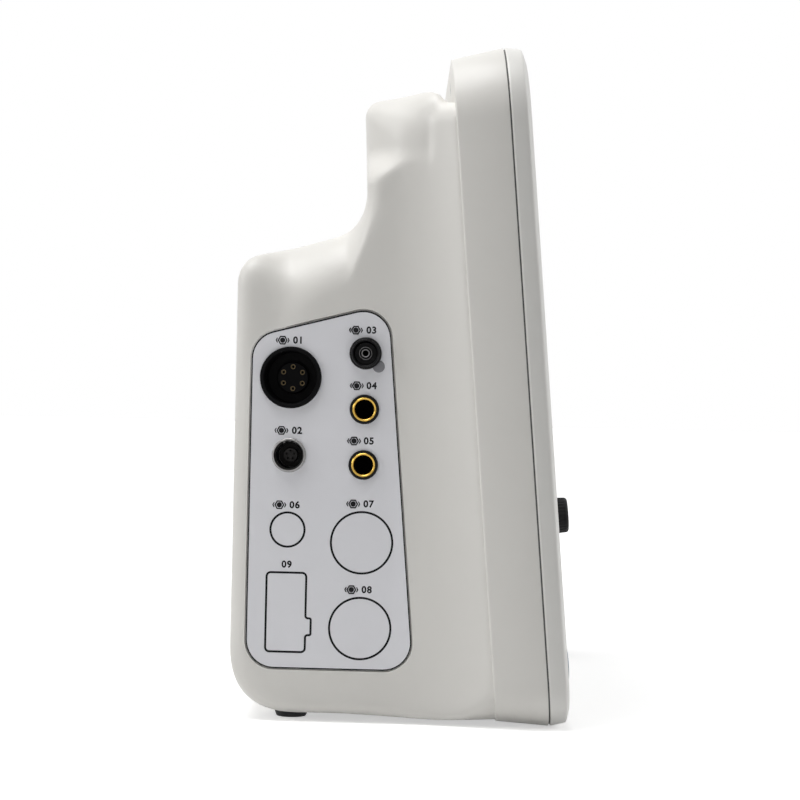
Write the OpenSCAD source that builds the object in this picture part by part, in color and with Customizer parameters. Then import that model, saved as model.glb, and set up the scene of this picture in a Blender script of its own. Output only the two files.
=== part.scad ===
// Bench-top patient monitor: a leaning screen panel, a stepped rear housing with a grip pocket, a plate of
// measuring ports on the left side, and the boards, pump, battery and power inlet that work inside it.
// Axes: +Z up, the screen faces -Y, and the ports are on the -X side. Units are millimetres.

/* [Front panel] */
// Width of the front panel at the parting line
panel_w = 315; // [300:1:380]
// Height of the front panel along its own face
panel_h = 267.5; // [262:0.5:322]
// Corner radius of the front panel
corner_r = 30; // [22:1:36]
corner_low_r = 20; // [16:1:36]
// How far the panel leans back, in degrees
tilt = 5; // [3:0.5:7]
// Depth of the front bezel's side, from the parting line to its front edge
bezel_side = 6.8; // [5.6:0.1:8.2]
// How far the face of the bezel stands in front of its edge
bezel_crown = 1.7; // [1:0.1:2.4]
// Draft of the bezel's side, as the inset at its front edge
bezel_inset = 0.9; // [0.4:0.1:1.6]
// Wall of the bezel's rim
bezel_wall = 2.6; // [2:0.1:3.2]
// Thickness of the bezel's face
face_t = 2.6; // [2:0.1:3.2]
// Gap in the parting line, which the seal fills
part_gap = 0.6; // [0.4:0.1:1]

/* [Screen] */
// Width of the window in the bezel
screen_w = 248; // [205:1:250]
// Height of the window in the bezel
screen_h = 186.5; // [155:0.5:188]
// Distance from the panel's left edge to the window
screen_left = 15; // [13:0.5:18]
// Distance from the panel's bottom edge to the window
screen_bottom = 47; // [42:0.5:52]
// How far the glass reaches behind the bezel on each side
glass_lap = 4; // [3:0.5:6]
// Thickness of the glass
glass_t = 2; // [1.5:0.1:2.6]
// Thickness of the liquid crystal module
lcd_t = 8.4; // [7:0.1:10]

/* [Rear housing] */
// Depth of the housing's flange behind the parting line
flange_depth = 21; // [19:0.5:25]
// Draft of the flange, as the inset at its rear edge
flange_inset = 3.3; // [2:0.1:4]
// How far the housing's sides step in from the panel's edge
step_in = 14.5; // [12:0.5:17]
// Depth from the parting line at the floor to the rear face
body_depth = 126; // [120:1:152]
// Wall of the rear housing
wall = 3; // [2.5:0.1:3.6]
// Height of the housing's underside above the surface that it stands on
base_lift = 3.1; // [2.6:0.1:4]
// Radius of the rear corner at the bottom
heel_r = 22; // [18:1:26]
// Radius of the rear corner at the top
brow_r = 8; // [5:1:10]
// Height of the shoulder where its slope starts at the rear
shoulder_z = 182.7; // [176:0.5:200]
// Slope of the shoulder, in degrees
shoulder_slope = 14.5; // [10:0.5:17]
// Radius between the shoulder and the handle
throat_r = 12; // [8:1:15]
// Depth from the parting line at the floor to the handle's rear face
handle_back = 75; // [72:0.5:82]
// Thickness of the handle block from front to back
handle_t = 30; // [28:0.5:34]
// How far the handle's top is below the panel's top
handle_drop = 16.5; // [14:0.5:20]
// Lean of the handle's rear face, in degrees
handle_lean = 2.9; // [0:0.1:5]
// Radius along the shoulder's side edges
shoulder_edge_r = 26; // [18:1:28]
// Radius along the handle's side edges
handle_edge_r = 26; // [14:1:28]
// Radius along the lower side edges
base_edge_r = 10; // [8:0.5:12]
// Radius of the housing's upright rear edges
rear_edge_r = 7; // [4:0.5:9]
// Depth at which the sides start to taper towards the rear
taper_start = 81; // [76:1:90]
// Taper of the sides, in degrees
taper = 3.3; // [0:0.1:5]
// Depth at which the sides start to flare out to the flange
flare_start = 60; // [58:0.5:62]

/* [Grip pocket] */
// Width of the pocket for the fingers
grip_w = 116; // [100:1:140]
// Depth of the pocket
grip_depth = 25; // [20:0.5:26]
// Height of the pocket's mouth
grip_h = 31; // [26:0.5:32]
// Thickness of the bar above the pocket
grip_bar = 14; // [11:0.5:16]

/* [Port plate] */
// Thickness of the port plate
plate_t = 1.6; // [1.2:0.1:1.8]
// Gap around the port plate
plate_gap = 0.5; // [0.3:0.1:0.8]
// Depth of the plate's rear edge
plate_rear = 119.5; // [117:0.5:121]
// Depth of the plate's front edge at the floor
plate_front = 51.8; // [51:0.2:54]
// Height of the plate's lower edge
plate_bottom = 20.9; // [16:0.5:22]
// How far the plate's upper edge lies below the shoulder
plate_drop = 32.3; // [26:0.5:34]
// Corner radius of the plate
plate_r = 11; // [7:0.5:13]
// Depth of the rear column of ports
rear_column = 104; // [102:0.5:105]
// Depth of the front column of ports
front_column = 74.9; // [73:0.1:76]
// Radial clearance of a port's barrel in the housing
port_gap = 0.15; // [0.1:0.05:0.3]
// Radius of the heart trace socket's rim
ecg_r = 12.1; // [11:0.1:13]
// Radius of the pulse oximetry socket's rim
oxi_r = 6.7; // [6:0.1:7.5]
// Radius of the cuff socket's rim
cuff_r = 6.3; // [5.8:0.1:7]
// Radius of a temperature jack's nut
jack_r = 5.8; // [5.2:0.1:6.8]
// Radius of a temperature jack's bore
jack_bore_r = 3.25; // [3.2:0.05:3.9]
// Length of a temperature jack's bore
jack_len = 28; // [22:0.5:34]

/* [Controls] */
// Number of keys in the column
key_count = 6; // [3:1:6]
// Width of a key
key_w = 24; // [20:0.5:28]
// Height of a key
key_h = 12; // [10:0.5:14]
// Distance between keys
key_pitch = 19.5; // [18:0.5:20]
// Height of the lowest key on the panel
key_first = 122; // [118:0.5:126]
// Clearance around a key
key_gap = 0.3; // [0.2:0.05:0.5]
// Travel of a key
key_travel = 0.8; // [0.4:0.1:1]
// Height of the rotary knob on the panel
knob_u = 69; // [66:1:80]
// Radius of the knob at its base
knob_r = 9.6; // [8:0.1:11.5]
// Radius of the knob at its face
knob_face_r = 8.6; // [7:0.1:9]
// Length of the knob
knob_len = 19.5; // [16:0.5:21]
// Gap between the knob and the bezel
knob_gap = 1.4; // [1.2:0.1:2]
// Radius of the encoder's shaft
shaft_r = 3; // [2.5:0.1:3.2]
// Running clearance of the shaft in its bushing
shaft_gap = 0.05; // [0.03:0.01:0.09]
// Radius of the power key
power_r = 6.5; // [5.5:0.1:7.5]

/* [Rear panel] */
// Distance between the mounting inserts
mount_pitch = 75; // [70:1:90]
// Height of the lowest mounting inserts
mount_z = 62; // [58:1:68]
// Radius of a mounting insert's thread
mount_r = 2; // [1.6:0.05:2.5]
// Depth of a mounting insert
mount_depth = 8; // [6:0.5:10]
// Width of the battery door
door_w = 72; // [64:1:76]
// Height of the battery door
door_h = 78; // [68:1:80]
// Thickness of the battery door
door_t = 2.4; // [2:0.1:3]
// Clearance around the battery door
door_gap = 0.4; // [0.3:0.05:0.6]
// Radius of the battery door's hinge pin
pin_r = 1.2; // [1:0.05:1.4]
// Running clearance of the hinge pin
pin_gap = 0.05; // [0.03:0.01:0.09]
// Depth of the battery bay
bay_depth = 28; // [24:0.5:30]
// Width of a vent slot
vent_w = 3; // [2.4:0.1:3.6]
// Number of vent slots
vent_count = 17; // [11:2:19]

/* [Feet] */
// Radius of a rear foot
foot_r = 6.9; // [6:0.1:8]
// Depth of the rear feet
foot_d = 101.8; // [98:0.5:104]
// Distance from a foot's centre to the housing's side
foot_in = 22; // [18:0.5:26]

/* [Hidden] */
$fn = 48;
ARC = 8;                  // segments of a polygon's rounded corner
SLIM = 0.01;              // thickness of a hull's end plates
LAP = 1;                  // how far a cutter runs past the face that it cuts

tip = tan(tilt);
front_d = 12;             // depth inside the flange at which the housing's walls start
bezel_t = bezel_side + bezel_crown;
crown_in = 6;             // width of the sloping border around the bezel's face
part_z = 0.4;             // clearance under the front panel, which its feet take up
knob_front = bezel_t + knob_gap + knob_len;
knob_edge_r = 1.6;
front_reach = (knob_front - knob_edge_r) * cos(tilt) - (knob_u - knob_face_r + knob_edge_r) * sin(tilt) + knob_edge_r;
part_y = (front_reach - body_depth) / 2;
panel_top = part_z + panel_h * cos(tilt);
handle_z = panel_top - handle_drop;
valley_z = handle_z - 8;  // height of the valley between the handle and the flange
handle_root = shoulder_z - 60;
flare_ledge = 0.4;        // ledge between the flange's rear edge and the flare
toe_z = part_z + flange_inset * cos(tilt) - flange_depth * sin(tilt) + 0.4;
body_half = panel_w / 2 - step_in;
control_x = (panel_w / 2 + screen_left + screen_w - panel_w / 2) / 2;   // middle of the border right of the window
rear_in = body_depth - wall;          // inner face of the rear wall

// --- outlines -------------------------------------------------------------------------------------------------

function unit(v) = v / norm(v);
function turn(a) = a > 180 ? a - 360 : a < -180 ? a + 360 : a;

// The corner b between a and c, rounded to radius r.
function corner(a, b, c, r) =
    r <= 0 ? [b] :
    let (u = unit(a - b), v = unit(c - b), half = acos(u * v) / 2, mid = b + unit(u + v) * r / sin(half),
         p = b + u * r / tan(half) - mid, q = b + v * r / tan(half) - mid,
         from = atan2(p.y, p.x), sweep = turn(atan2(q.y, q.x) - from))
    [for (i = [0:ARC]) mid + r * [cos(from + sweep * i / ARC), sin(from + sweep * i / ARC)]];

// A polygon from [x, y, radius] corners.
function rounded(pts) =
    let (n = len(pts), at = [for (p = pts) [p.x, p.y]])
    [for (i = [0:n - 1]) each corner(at[(i + n - 1) % n], at[i], at[(i + 1) % n], pts[i].z)];

// The panel's outline, set in on every side.
function panel_outline(inset) =
    let (x = panel_w / 2 - inset, r = corner_r - inset, low_r = corner_low_r - inset)
    rounded([[-x, inset, low_r], [x, inset, low_r], [x, panel_h - inset, r], [-x, panel_h - inset, r]]);

function box_outline(x0, x1, z0, z1, r) = rounded([[x0, z0, r], [x1, z0, r], [x1, z1, r], [x0, z1, r]]);

function shoulder_at(d) = shoulder_z + (body_depth - 6 - d) * tan(shoulder_slope);
function handle_back_at(z) = handle_back + (z - shoulder_at(handle_back)) * tan(handle_lean);
function half_at(d) = body_half - max(0, d - taper_start) * tan(taper);
function lean_at(d) = d > taper_start ? taper : 0;
// Depth of the flange's rear face at a height.
function flange_rear_at(z) = flange_depth * cos(tilt) + (z + flange_depth * sin(tilt)) * tip;

// Side view of the lower box in depth and height, set in by i.
function box_side(i) =
    let (drop = i / cos(shoulder_slope))
    rounded([
        [front_d, toe_z + i, 0],
        [flare_start - 33, toe_z + i, 0],
        [flare_start - 3, base_lift + i, 0],
        [body_depth - i, base_lift + i, heel_r - i],
        [body_depth - i, shoulder_at(body_depth) - drop, brow_r - i],
        [front_d + shoulder_at(front_d) * tip, shoulder_at(front_d) - drop, 0]]);

// Side view of the handle block in depth and height, set in by i.
function handle_side(i) =
    rounded([
        [front_d + handle_root * tip, handle_root, 0],
        [handle_back_at(handle_root) - i, handle_root, 0],
        [handle_back_at(handle_z) - i, handle_z - 3.2 - i, 6 - i],
        [handle_back - handle_t / 2, handle_z - i, 20],
        [handle_back - handle_t + i, handle_z - i, 8 - i],
        [handle_back - handle_t + i, valley_z - i, 0],
        [front_d + valley_z * tip, valley_z - i, 0]]);

// Side view of the fillet between the handle and the shoulder.
function throat_side() =
    let (z = shoulder_at(handle_back), reach = 60)
    concat([[handle_back - 3, z - 8], [handle_back - 3, z + 8]],
           corner([handle_back_at(z + reach), z + reach], [handle_back, z],
                  [handle_back + reach, shoulder_at(handle_back + reach)], throat_r),
           [[handle_back + 8, z - 8]]);

// --- placing ----------------------------------------------------------------------------------------------------

// The front panel's own frame: x across, y behind the parting line, z up the panel.
module front_frame() translate([0, part_y, part_z]) rotate([-tilt, 0, 0]) children();

// The housing's frame: y is the depth behind the parting line at the floor.
module body_frame() translate([0, part_y, 0]) children();

// A port on the left side: local z points out of the wall, x up and y to the rear.
module port(d, z) body_frame() translate([-half_at(d), d, z]) rotate([0, 0, -lean_at(d)]) rotate([0, -90, 0])
    children();

// A place on the rear face: local z points out of it, x is the row's x and y points down.
module rear(x, z) body_frame() translate([x, body_depth, z]) rotate([-90, 0, 0]) children();

// An outline in x and z, from y0 to y1.
module slab(y0, y1, outline) translate([0, y1, 0]) rotate([90, 0, 0]) linear_extrude(y1 - y0) polygon(outline);

module tube(r_out, r_in, z0, z1) translate([0, 0, z0]) difference() {
    cylinder(r = r_out, h = z1 - z0);
    translate([0, 0, -LAP]) cylinder(r = r_in, h = z1 - z0 + 2 * LAP);
}

module block(size, at) translate(at) cube(size);

// --- rear housing -------------------------------------------------------------------------------------------------

module side_prism(outline) translate([-body_half, 0, 0]) rotate([90, 0, 90]) linear_extrude(2 * body_half)
    polygon(outline);

module plan_prism(i) linear_extrude(handle_z + LAP) polygon(rounded([
    [-half_at(0) + i, 0, 0], [half_at(0) - i, 0, 0], [half_at(taper_start) - i, taper_start, 0],
    [half_at(body_depth - i) - i, body_depth - i, rear_edge_r - i],
    [-half_at(body_depth - i) + i, body_depth - i, rear_edge_r - i], [-half_at(taper_start) + i, taper_start, 0]]));

// A bar along the shoulder's slope with rounded upper edges, set in by i and raised by up.
module shoulder_bar(i, up) translate([0, 0, shoulder_at(0) - i / cos(shoulder_slope)])
    rotate([-shoulder_slope, 0, 0]) slab(-body_depth, body_depth * 1.5,
        box_outline(-body_half + i, body_half - i, -2 * panel_h, up, shoulder_edge_r + up - i));

// The lower box, with its side edges rounded along the shoulder and along the underside.
module lower_box(i) intersection() {
    side_prism(box_side(i));
    plan_prism(i);
    shoulder_bar(i, 0);
    slab(0, body_depth, box_outline(-body_half + i, body_half - i, toe_z + i, 2 * panel_h, base_edge_r - i));
}

// The handle block, with its upper side edges rounded from front to back.
module handle_block(i) intersection() {
    side_prism(handle_side(i));
    slab(0, body_depth, box_outline(-body_half + i, body_half - i, -handle_z, handle_z - i, handle_edge_r - i));
}

module body_solid(i) body_frame() {
    lower_box(i);
    handle_block(i);
}

module throat() body_frame() intersection() {
    side_prism(throat_side());
    shoulder_bar(0, throat_r);
}

module flange_solid(i, y0, y1) front_frame() hull() {
    slab(y0, y0 + SLIM, panel_outline(i));
    slab(y1 - SLIM, y1, panel_outline(flange_inset + i));
}

// A thin section of the flare, set in by i: t is 1 at the flange's rear edge and 0 at the housing's sides.
module flare_section(t, i) translate([0, part_y + (1 - t) * flare_start, part_z * t]) rotate([-tilt * t, 0, 0])
    translate([0, t * (flange_depth - 0.6), 0]) slab(-SLIM, 0,
        let (x = body_half - 0.05 + (step_in - flange_inset - flare_ledge) * t * t - i,
             low = t * (flange_inset + flare_ledge) + (1 - t) * (base_lift + 0.1) + i)
        box_outline(-x, x, low, valley_z - 4 - i, 14 + t * (corner_low_r - flange_inset - 14) - i));

// The flare between the housing's sides and the flange, in two straight steps.
module flare(i) for (t = [0.5, 1]) hull() {
    flare_section(t - 0.5, i);
    flare_section(t, i);
}

module grip_shape(grow) body_frame() slab(handle_back - grip_depth - grow, handle_back + 20 + grow,
    box_outline(-grip_w / 2 - grow, grip_w / 2 + grow, handle_z - grip_bar - grip_h - grow,
                handle_z - grip_bar + grow, 7 + grow));

// The outline of the port plate in depth and height, grown by g.
function plate_outline(g) =
    let (rear = plate_rear + g, low = plate_bottom - g,
         top_rear = shoulder_at(plate_rear) - plate_drop + g,
         front_low = plate_front + low * tip - g,
         slope = tan(shoulder_slope),
         // where the sloping upper edge meets the leaning front edge
         front_top_z = (top_rear + (rear - plate_front + g) * slope) / (1 + slope * tip),
         front_top_d = plate_front - g + front_top_z * tip)
    rounded([[front_low, low, plate_r + g], [rear, low, plate_r + g], [rear, top_rear, plate_r + g],
             [front_top_d, front_top_z, plate_r + g]]);

// A skin of the left side between two depths under its surface, cut to an outline.
module side_skin(out, in, outline) body_frame() intersection() {
    translate([-body_half - LAP, 0, 0]) rotate([90, 0, 90]) linear_extrude(40) polygon(outline);
    linear_extrude(handle_z) polygon([
        [-half_at(0) - out, 0], [-half_at(taper_start) - out, taper_start], [-half_at(body_depth) - out, body_depth],
        [-half_at(body_depth) + in, body_depth], [-half_at(taper_start) + in, taper_start], [-half_at(0) + in, 0]]);
}

// Every port on the left side: depth, height and the radius of the hole in the wall.
ecg_z = 134.7;
oxi_z = 104.3;
cuff_z = 144.7;
jack_z = [122.8, 101.1];
ecg_barrel_r = ecg_r - 1;
oxi_barrel_r = oxi_r - 0.5;
cuff_barrel_r = cuff_r - 0.9;
jack_barrel_r = jack_r - 1;
port_holes = [
    [rear_column, ecg_z, ecg_barrel_r], [rear_column, oxi_z, oxi_barrel_r], [front_column, cuff_z, cuff_barrel_r],
    [front_column, jack_z[0], jack_barrel_r], [front_column, jack_z[1], jack_barrel_r]];

module port_cutters(depth) for (h = port_holes) port(h[0], h[1])
    translate([0, 0, -depth]) cylinder(r = h[2] + port_gap, h = depth + LAP);

// Rear face: inlet, network and serial jacks, stud, vents, door.
inlet_x = -88;
inlet_z = 54;
inlet_w = 28;
inlet_h = 47;
stud_x = -58;
stud_z = 44;
stud_well_r = 7.5;
net_x = -96;
jack_row_z = 100;
net_size = [16, 14];
door_x = 88;
hinge_z = 36;
hinge_r = door_t;                     // radius of the door's knuckles
hinge_d = body_depth - hinge_r;
vent_z = 150;
vent_h = 13;
vent_pitch = 2 * 100 / (vent_count - 1);
speaker_d = 101;
speaker_z = 132;
speaker_r = 18;

module vent_cutters() for (i = [0:vent_count - 1]) rear(-100 + i * vent_pitch, vent_z) {
    translate([-vent_w / 2, -vent_h / 2, -wall - LAP]) cube([vent_w, vent_h, wall + 2 * LAP]);
}

module speaker_frame() body_frame() translate([half_at(speaker_d), speaker_d, speaker_z])
    rotate([0, 0, taper]) rotate([0, 90, 0]) children();

module speaker_cutters() speaker_frame() for (ring = [0:3]) for (k = [0:max(1, 6 * ring) - 1])
    rotate([0, 0, k * 60 / max(1, ring)]) translate([ring * 4.6, 0, -wall - LAP]) cylinder(r = 1.1, h = wall + 2 * LAP,
        $fn = 16);

module door_cutter() rear(door_x, 0) translate([-door_w / 2 - door_gap, -hinge_z - door_h - door_gap, -wall - LAP])
    cube([door_w + 2 * door_gap, door_h + hinge_r + 2 * door_gap, wall + 2 * LAP]);

screw_spots = [for (s = [-1, 1]) [s * (body_half - 24), 150]];
screw_head_r = 3.1;
screw_r = 1.9;
top_screw_x = 95;
top_screw_u = panel_h - 11;
boss_r = 4.2;
post_r = 4.5;

module insert_bosses() for (x = [-1, 1], z = [0, 1]) rear(x * mount_pitch / 2, mount_z + z * mount_pitch)
    tube(mount_r + 3.4, mount_r + 1.6, -mount_depth - wall + 1, -wall + 0.5);

module rear_housing() color("gainsboro") difference() {
    union() {
        difference() {
            union() {
                flange_solid(0, part_gap / 2, flange_depth);
                body_solid(0);
                throat();
                flare(0);
            }
            difference() {
                union() {
                    body_solid(wall);
                    flare(wall);
                    flange_solid(wall, -LAP, flange_depth - wall);
                }
                grip_shape(wall);
            }
        }
        insert_bosses();
    }
    grip_shape(0);
    side_skin(3 * LAP, plate_t, plate_outline(plate_gap));
    port_cutters(8);
    rear(inlet_x, inlet_z) {
        translate([-inlet_w / 2, -inlet_h / 2, -wall - LAP]) cube([inlet_w, inlet_h, wall + 2 * LAP]);
        translate([-inlet_w / 2 - 2.1, -inlet_h / 2 - 2.1, -inlet_rim]) cube([inlet_w + 4.2, inlet_h + 4.2, inlet_rim + LAP]);
    }
    rear(stud_x, stud_z) translate([0, 0, -wall - LAP]) cylinder(r = stud_well_r, h = wall + 2 * LAP);
    rear(net_x, jack_row_z) translate([-net_size.x / 2, -net_size.y / 2, -wall - LAP])
        cube([net_size.x, net_size.y, wall + 2 * LAP]);
    for (x = [-1, 1], z = [0, 1]) rear(x * mount_pitch / 2, mount_z + z * mount_pitch)
        translate([0, 0, -mount_depth - wall]) cylinder(r = mount_r + 1.6, h = mount_depth + wall + LAP);
    vent_cutters();
    speaker_cutters();
    door_cutter();
    for (p = screw_spots) rear(p.x, p.y) {
        translate([0, 0, -wall - LAP]) cylinder(r = screw_r + 0.2, h = wall + 2 * LAP);
        translate([0, 0, -1.6]) cylinder(r = screw_head_r + 0.2, h = 1.6 + LAP);
    }
    for (s = [-1, 1]) front_frame() translate([s * top_screw_x, flange_depth, top_screw_u]) rotate([-90, 0, 0]) {
        translate([0, 0, -wall - LAP]) cylinder(r = screw_r + 0.2, h = wall + 2 * LAP);
        translate([0, 0, -1.6]) cylinder(r = screw_head_r + 0.2, h = 1.6 + LAP);
    }
    for (s = [-1, 1]) {
        body_frame() translate([s * (body_half - foot_in), foot_d, 0]) cylinder(r = foot_r + 0.1, h = foot_top);
        front_frame() translate([s * front_foot_x, front_foot_y, -LAP]) cylinder(r = front_foot_r + 0.1, h = LAP + 2.4);
    }
}

// --- front bezel and screen ------------------------------------------------------------------------------------------

screen_x0 = -panel_w / 2 + screen_left;
screen_cx = screen_x0 + screen_w / 2;
screen_cu = screen_bottom + screen_h / 2;
glass_back = -bezel_t + face_t + glass_t;
lcd_back = glass_back + 0.4 + lcd_t;
chassis_y = lcd_back;
chassis_t = 1.2;
board_y = chassis_y + chassis_t + 4;
board_t = 1.6;
lamp_w = 30;
lamp_h = 7;
lamp_u = panel_h - 20;
lens_r = 1.6;
power_x = -panel_w / 2 + 26;
power_u = 23;
bushing_r = 4.5;
front_foot_x = 118;
front_foot_y = 11;
front_foot_r = 6;
foot_top = base_lift + 1;

module window_cutter(y0, y1) slab(y0, y1, box_outline(screen_x0, screen_x0 + screen_w, screen_bottom,
    screen_bottom + screen_h, 3));

// Every key's place on the panel.
function key_u(i) = key_first + i * key_pitch;

module key_outline_slab(y0, y1, grow) slab(y0, y1, box_outline(-key_w / 2 - grow, key_w / 2 + grow, -key_h / 2 - grow,
    key_h / 2 + grow, 3.5 + grow));

module bezel_bosses() for (s = [-1, 1]) translate([s * top_screw_x, 0, top_screw_u]) rotate([-90, 0, 0])
    tube(boss_r, screw_r - 0.2, -bezel_t + face_t - 0.5, flange_depth - wall - 0.2);

module front_bezel() color("whitesmoke") front_frame() difference() {
    union() {
        difference() {
            hull() {
                slab(-part_gap / 2 - SLIM, -part_gap / 2, panel_outline(0));
                slab(-bezel_side, -bezel_side + SLIM, panel_outline(bezel_inset));
                slab(-bezel_t, -bezel_t + SLIM, panel_outline(bezel_inset + crown_in));
            }
            slab(-bezel_t + face_t, LAP, panel_outline(bezel_wall + bezel_inset + 1));
        }
        bezel_bosses();
    }
    window_cutter(-bezel_t - LAP, LAP);
    for (i = [0:key_count - 1]) translate([control_x, 0, key_u(i)])
        key_outline_slab(-bezel_t - LAP, -bezel_t + face_t + LAP, key_gap);
    translate([control_x, 0, knob_u]) rotate([90, 0, 0]) translate([0, 0, bezel_t - face_t - LAP])
        cylinder(r = bushing_r + 0.2, h = face_t + 2 * LAP);
    translate([power_x, 0, power_u]) rotate([90, 0, 0]) translate([0, 0, bezel_t - face_t - LAP])
        cylinder(r = power_r + key_gap, h = face_t + 2 * LAP);
    for (i = [0:2]) translate([power_x + 18 + 9 * i, 0, power_u]) rotate([90, 0, 0])
        translate([0, 0, bezel_t - face_t - LAP]) cylinder(r = lens_r + 0.05, h = face_t + 2 * LAP);
    slab(-bezel_t - LAP, -bezel_t + face_t + LAP, box_outline(control_x - lamp_w / 2 - 0.2, control_x + lamp_w / 2
        + 0.2, lamp_u - lamp_h / 2 - 0.2, lamp_u + lamp_h / 2 + 0.2, 2));
}

module front_seal() color("dimgray") front_frame() difference() {
    slab(-part_gap / 2, part_gap / 2, panel_outline(0.7));
    slab(-LAP, LAP, panel_outline(bezel_wall));
}

module display_glass() color("black") front_frame() slab(-bezel_t + face_t, glass_back, box_outline(
    screen_x0 - glass_lap, screen_x0 + screen_w + glass_lap, screen_bottom - glass_lap,
    screen_bottom + screen_h + glass_lap, 4));

module lcd_module() color("slategray") front_frame() block([screen_w + 12.5, lcd_t, screen_h + 17.5],
    [screen_cx - screen_w / 2 - 6.25, glass_back + 0.4, screen_cu - screen_h / 2 - 8.75]);

// Sheet metal plate behind the screen, with ears that the bezel's bosses pass through.
module chassis_plate() color("silver") front_frame() difference() {
    intersection() {
        block([screen_w + 4, chassis_t, panel_h - screen_bottom - 6.2],
              [screen_cx - screen_w / 2 - 2, chassis_y, screen_bottom]);
        slab(chassis_y, chassis_y + chassis_t, panel_outline(wall + flange_inset));
    }
    for (s = [-1, 1]) translate([s * top_screw_x, chassis_y - LAP, top_screw_u]) rotate([-90, 0, 0])
        cylinder(r = boss_r + 0.05, h = chassis_t + 2 * LAP);
}

main_w = 170;
main_h = 120;
main_x = screen_cx - main_w / 2;
main_u = screen_bottom + 26;

module main_board() color("seagreen") front_frame() {
    block([main_w, board_t, main_h], [main_x, board_y, main_u]);
    block([32, 3, 32], [main_x + 66, board_y + board_t, main_u + 52]);
    block([20, 2, 14], [main_x + 112, board_y + board_t, main_u + 60]);
    block([20, 2, 14], [main_x + 112, board_y + board_t, main_u + 84]);
    block([38, 6, 7], [main_x + 12, board_y + board_t, main_u + 104]);
    block([30, 7, 8], [main_x + 126, board_y + board_t, main_u + 8]);
    block([26, 6, 26], [main_x + 18, board_y + board_t, main_u + 12]);
}

module board_standoffs() color("goldenrod") front_frame() for (x = [5, main_w - 5], u = [5, main_h - 5])
    translate([main_x + x, chassis_y + chassis_t, main_u + u]) rotate([-90, 0, 0])
        cylinder(r = 2.75, h = board_y - chassis_y - chassis_t);

// --- controls ----------------------------------------------------------------------------------------------------

key_lip = 1.2;
key_proud = 1.1;
key_back = -bezel_t + face_t + key_lip;
key_board_y = 3;
dome_h = 1.8;                         // height of a key's switch above its board

module key(i) color("lightsteelblue") front_frame() translate([control_x, 0, key_u(i)]) {
    key_outline_slab(-bezel_t - key_proud, -bezel_t + face_t + 0.2, 0);
    key_outline_slab(-bezel_t + face_t + 0.1, key_back, 1.3);
    translate([0, key_back - 0.2, 0]) rotate([-90, 0, 0]) cylinder(r = 2.2, h = key_board_y - dome_h - key_travel
        - 0.1 - key_back + 0.2);
}

module key_board() color("darkgreen") front_frame() difference() {
    union() {
        block([34, board_t, (key_count - 1) * key_pitch + 34 + key_first - knob_u], [control_x - 17, key_board_y, knob_u - 17]);
        for (i = [0:key_count - 1]) translate([control_x, key_board_y - dome_h, key_u(i)]) rotate([-90, 0, 0])
            cylinder(r = 3, h = dome_h + 0.1);
    }
    translate([control_x, key_board_y - LAP, knob_u]) rotate([-90, 0, 0]) cylinder(r = 5.9, h = board_t + 2 * LAP);
}

module power_board() color("darkgreen") front_frame() {
    block([54, board_t, 16], [power_x - 9, key_board_y, power_u - 8]);
    translate([power_x, key_board_y - dome_h, power_u]) rotate([-90, 0, 0]) cylinder(r = 3, h = dome_h + 0.1);
}

module power_key() color("lightsteelblue") front_frame() translate([power_x, 0, power_u]) rotate([90, 0, 0]) {
    translate([0, 0, bezel_t - face_t - 0.2]) cylinder(r = power_r, h = face_t + 0.2 + key_proud);
    translate([0, 0, bezel_t - face_t - key_lip]) cylinder(r = power_r + 1.3, h = key_lip - 0.1);
    translate([0, 0, -key_board_y + dome_h + key_travel + 0.1])
        cylinder(r = 2.2, h = bezel_t - face_t - key_lip + key_board_y - dome_h - key_travel);
}

module indicator_lenses() color("palegreen") front_frame() for (i = [0:2])
    translate([power_x + 18 + 9 * i, 0, power_u]) rotate([90, 0, 0]) translate([0, 0, bezel_t - face_t - 2])
        cylinder(r = lens_r, h = face_t + 2.3);

// A lens with a lip that rests against the back of the bezel's face.
module alarm_lamp() color("orange") front_frame() for (p = [[-bezel_t - 0.6, 0, 1.8], [-bezel_t + face_t, 1, 2]])
    slab(p[0], -bezel_t + face_t + 1.4, box_outline(control_x - lamp_w / 2 - p[1], control_x + lamp_w / 2 + p[1],
        lamp_u - lamp_h / 2 - p[1], lamp_u + lamp_h / 2 + p[1], p[2]));

// The knob's frame: local z points out of the panel from the parting plane.
module knob_frame() front_frame() translate([control_x, 0, knob_u]) rotate([90, 0, 0]) children();

encoder_back = -key_board_y + 0.05;               // rear face of the encoder's box, on the key board
encoder_front = bezel_t - face_t - 1;             // front face of the encoder's box, behind the bezel
bushing_tip = bezel_t + 1.6;
plunger_t = 1.5;
plunger_z = encoder_back + 2.4;
shaft_foot = plunger_z + plunger_t + 0.1;
foot_t = 1;
press_travel = 0.8;

// Encoder with a chamber for the push switch's plunger and the foot of the shaft.
module encoder_body() color("dimgray") knob_frame() difference() {
    union() {
        block([15, 15, encoder_front - encoder_back], [-7.5, -7.5, encoder_back]);
        translate([0, 0, encoder_front - 0.5]) cylinder(r = bushing_r, h = bushing_tip - encoder_front + 0.5);
    }
    translate([0, 0, encoder_back + 1]) cylinder(r = 5.2, h = shaft_foot + foot_t + 0.1 - encoder_back - 1);
    translate([0, 0, encoder_back + 1]) cylinder(r = shaft_r + shaft_gap, h = 40);
}

module encoder_plunger() color("ivory") knob_frame() translate([0, 0, plunger_z]) cylinder(r = 4.6, h = plunger_t);

module encoder_shaft() color("silver") knob_frame() {
    translate([0, 0, shaft_foot]) cylinder(r = 4.4, h = foot_t);
    translate([0, 0, shaft_foot + 0.5]) cylinder(r = shaft_r, h = knob_front - 3 - shaft_foot - 0.5);
}

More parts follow.
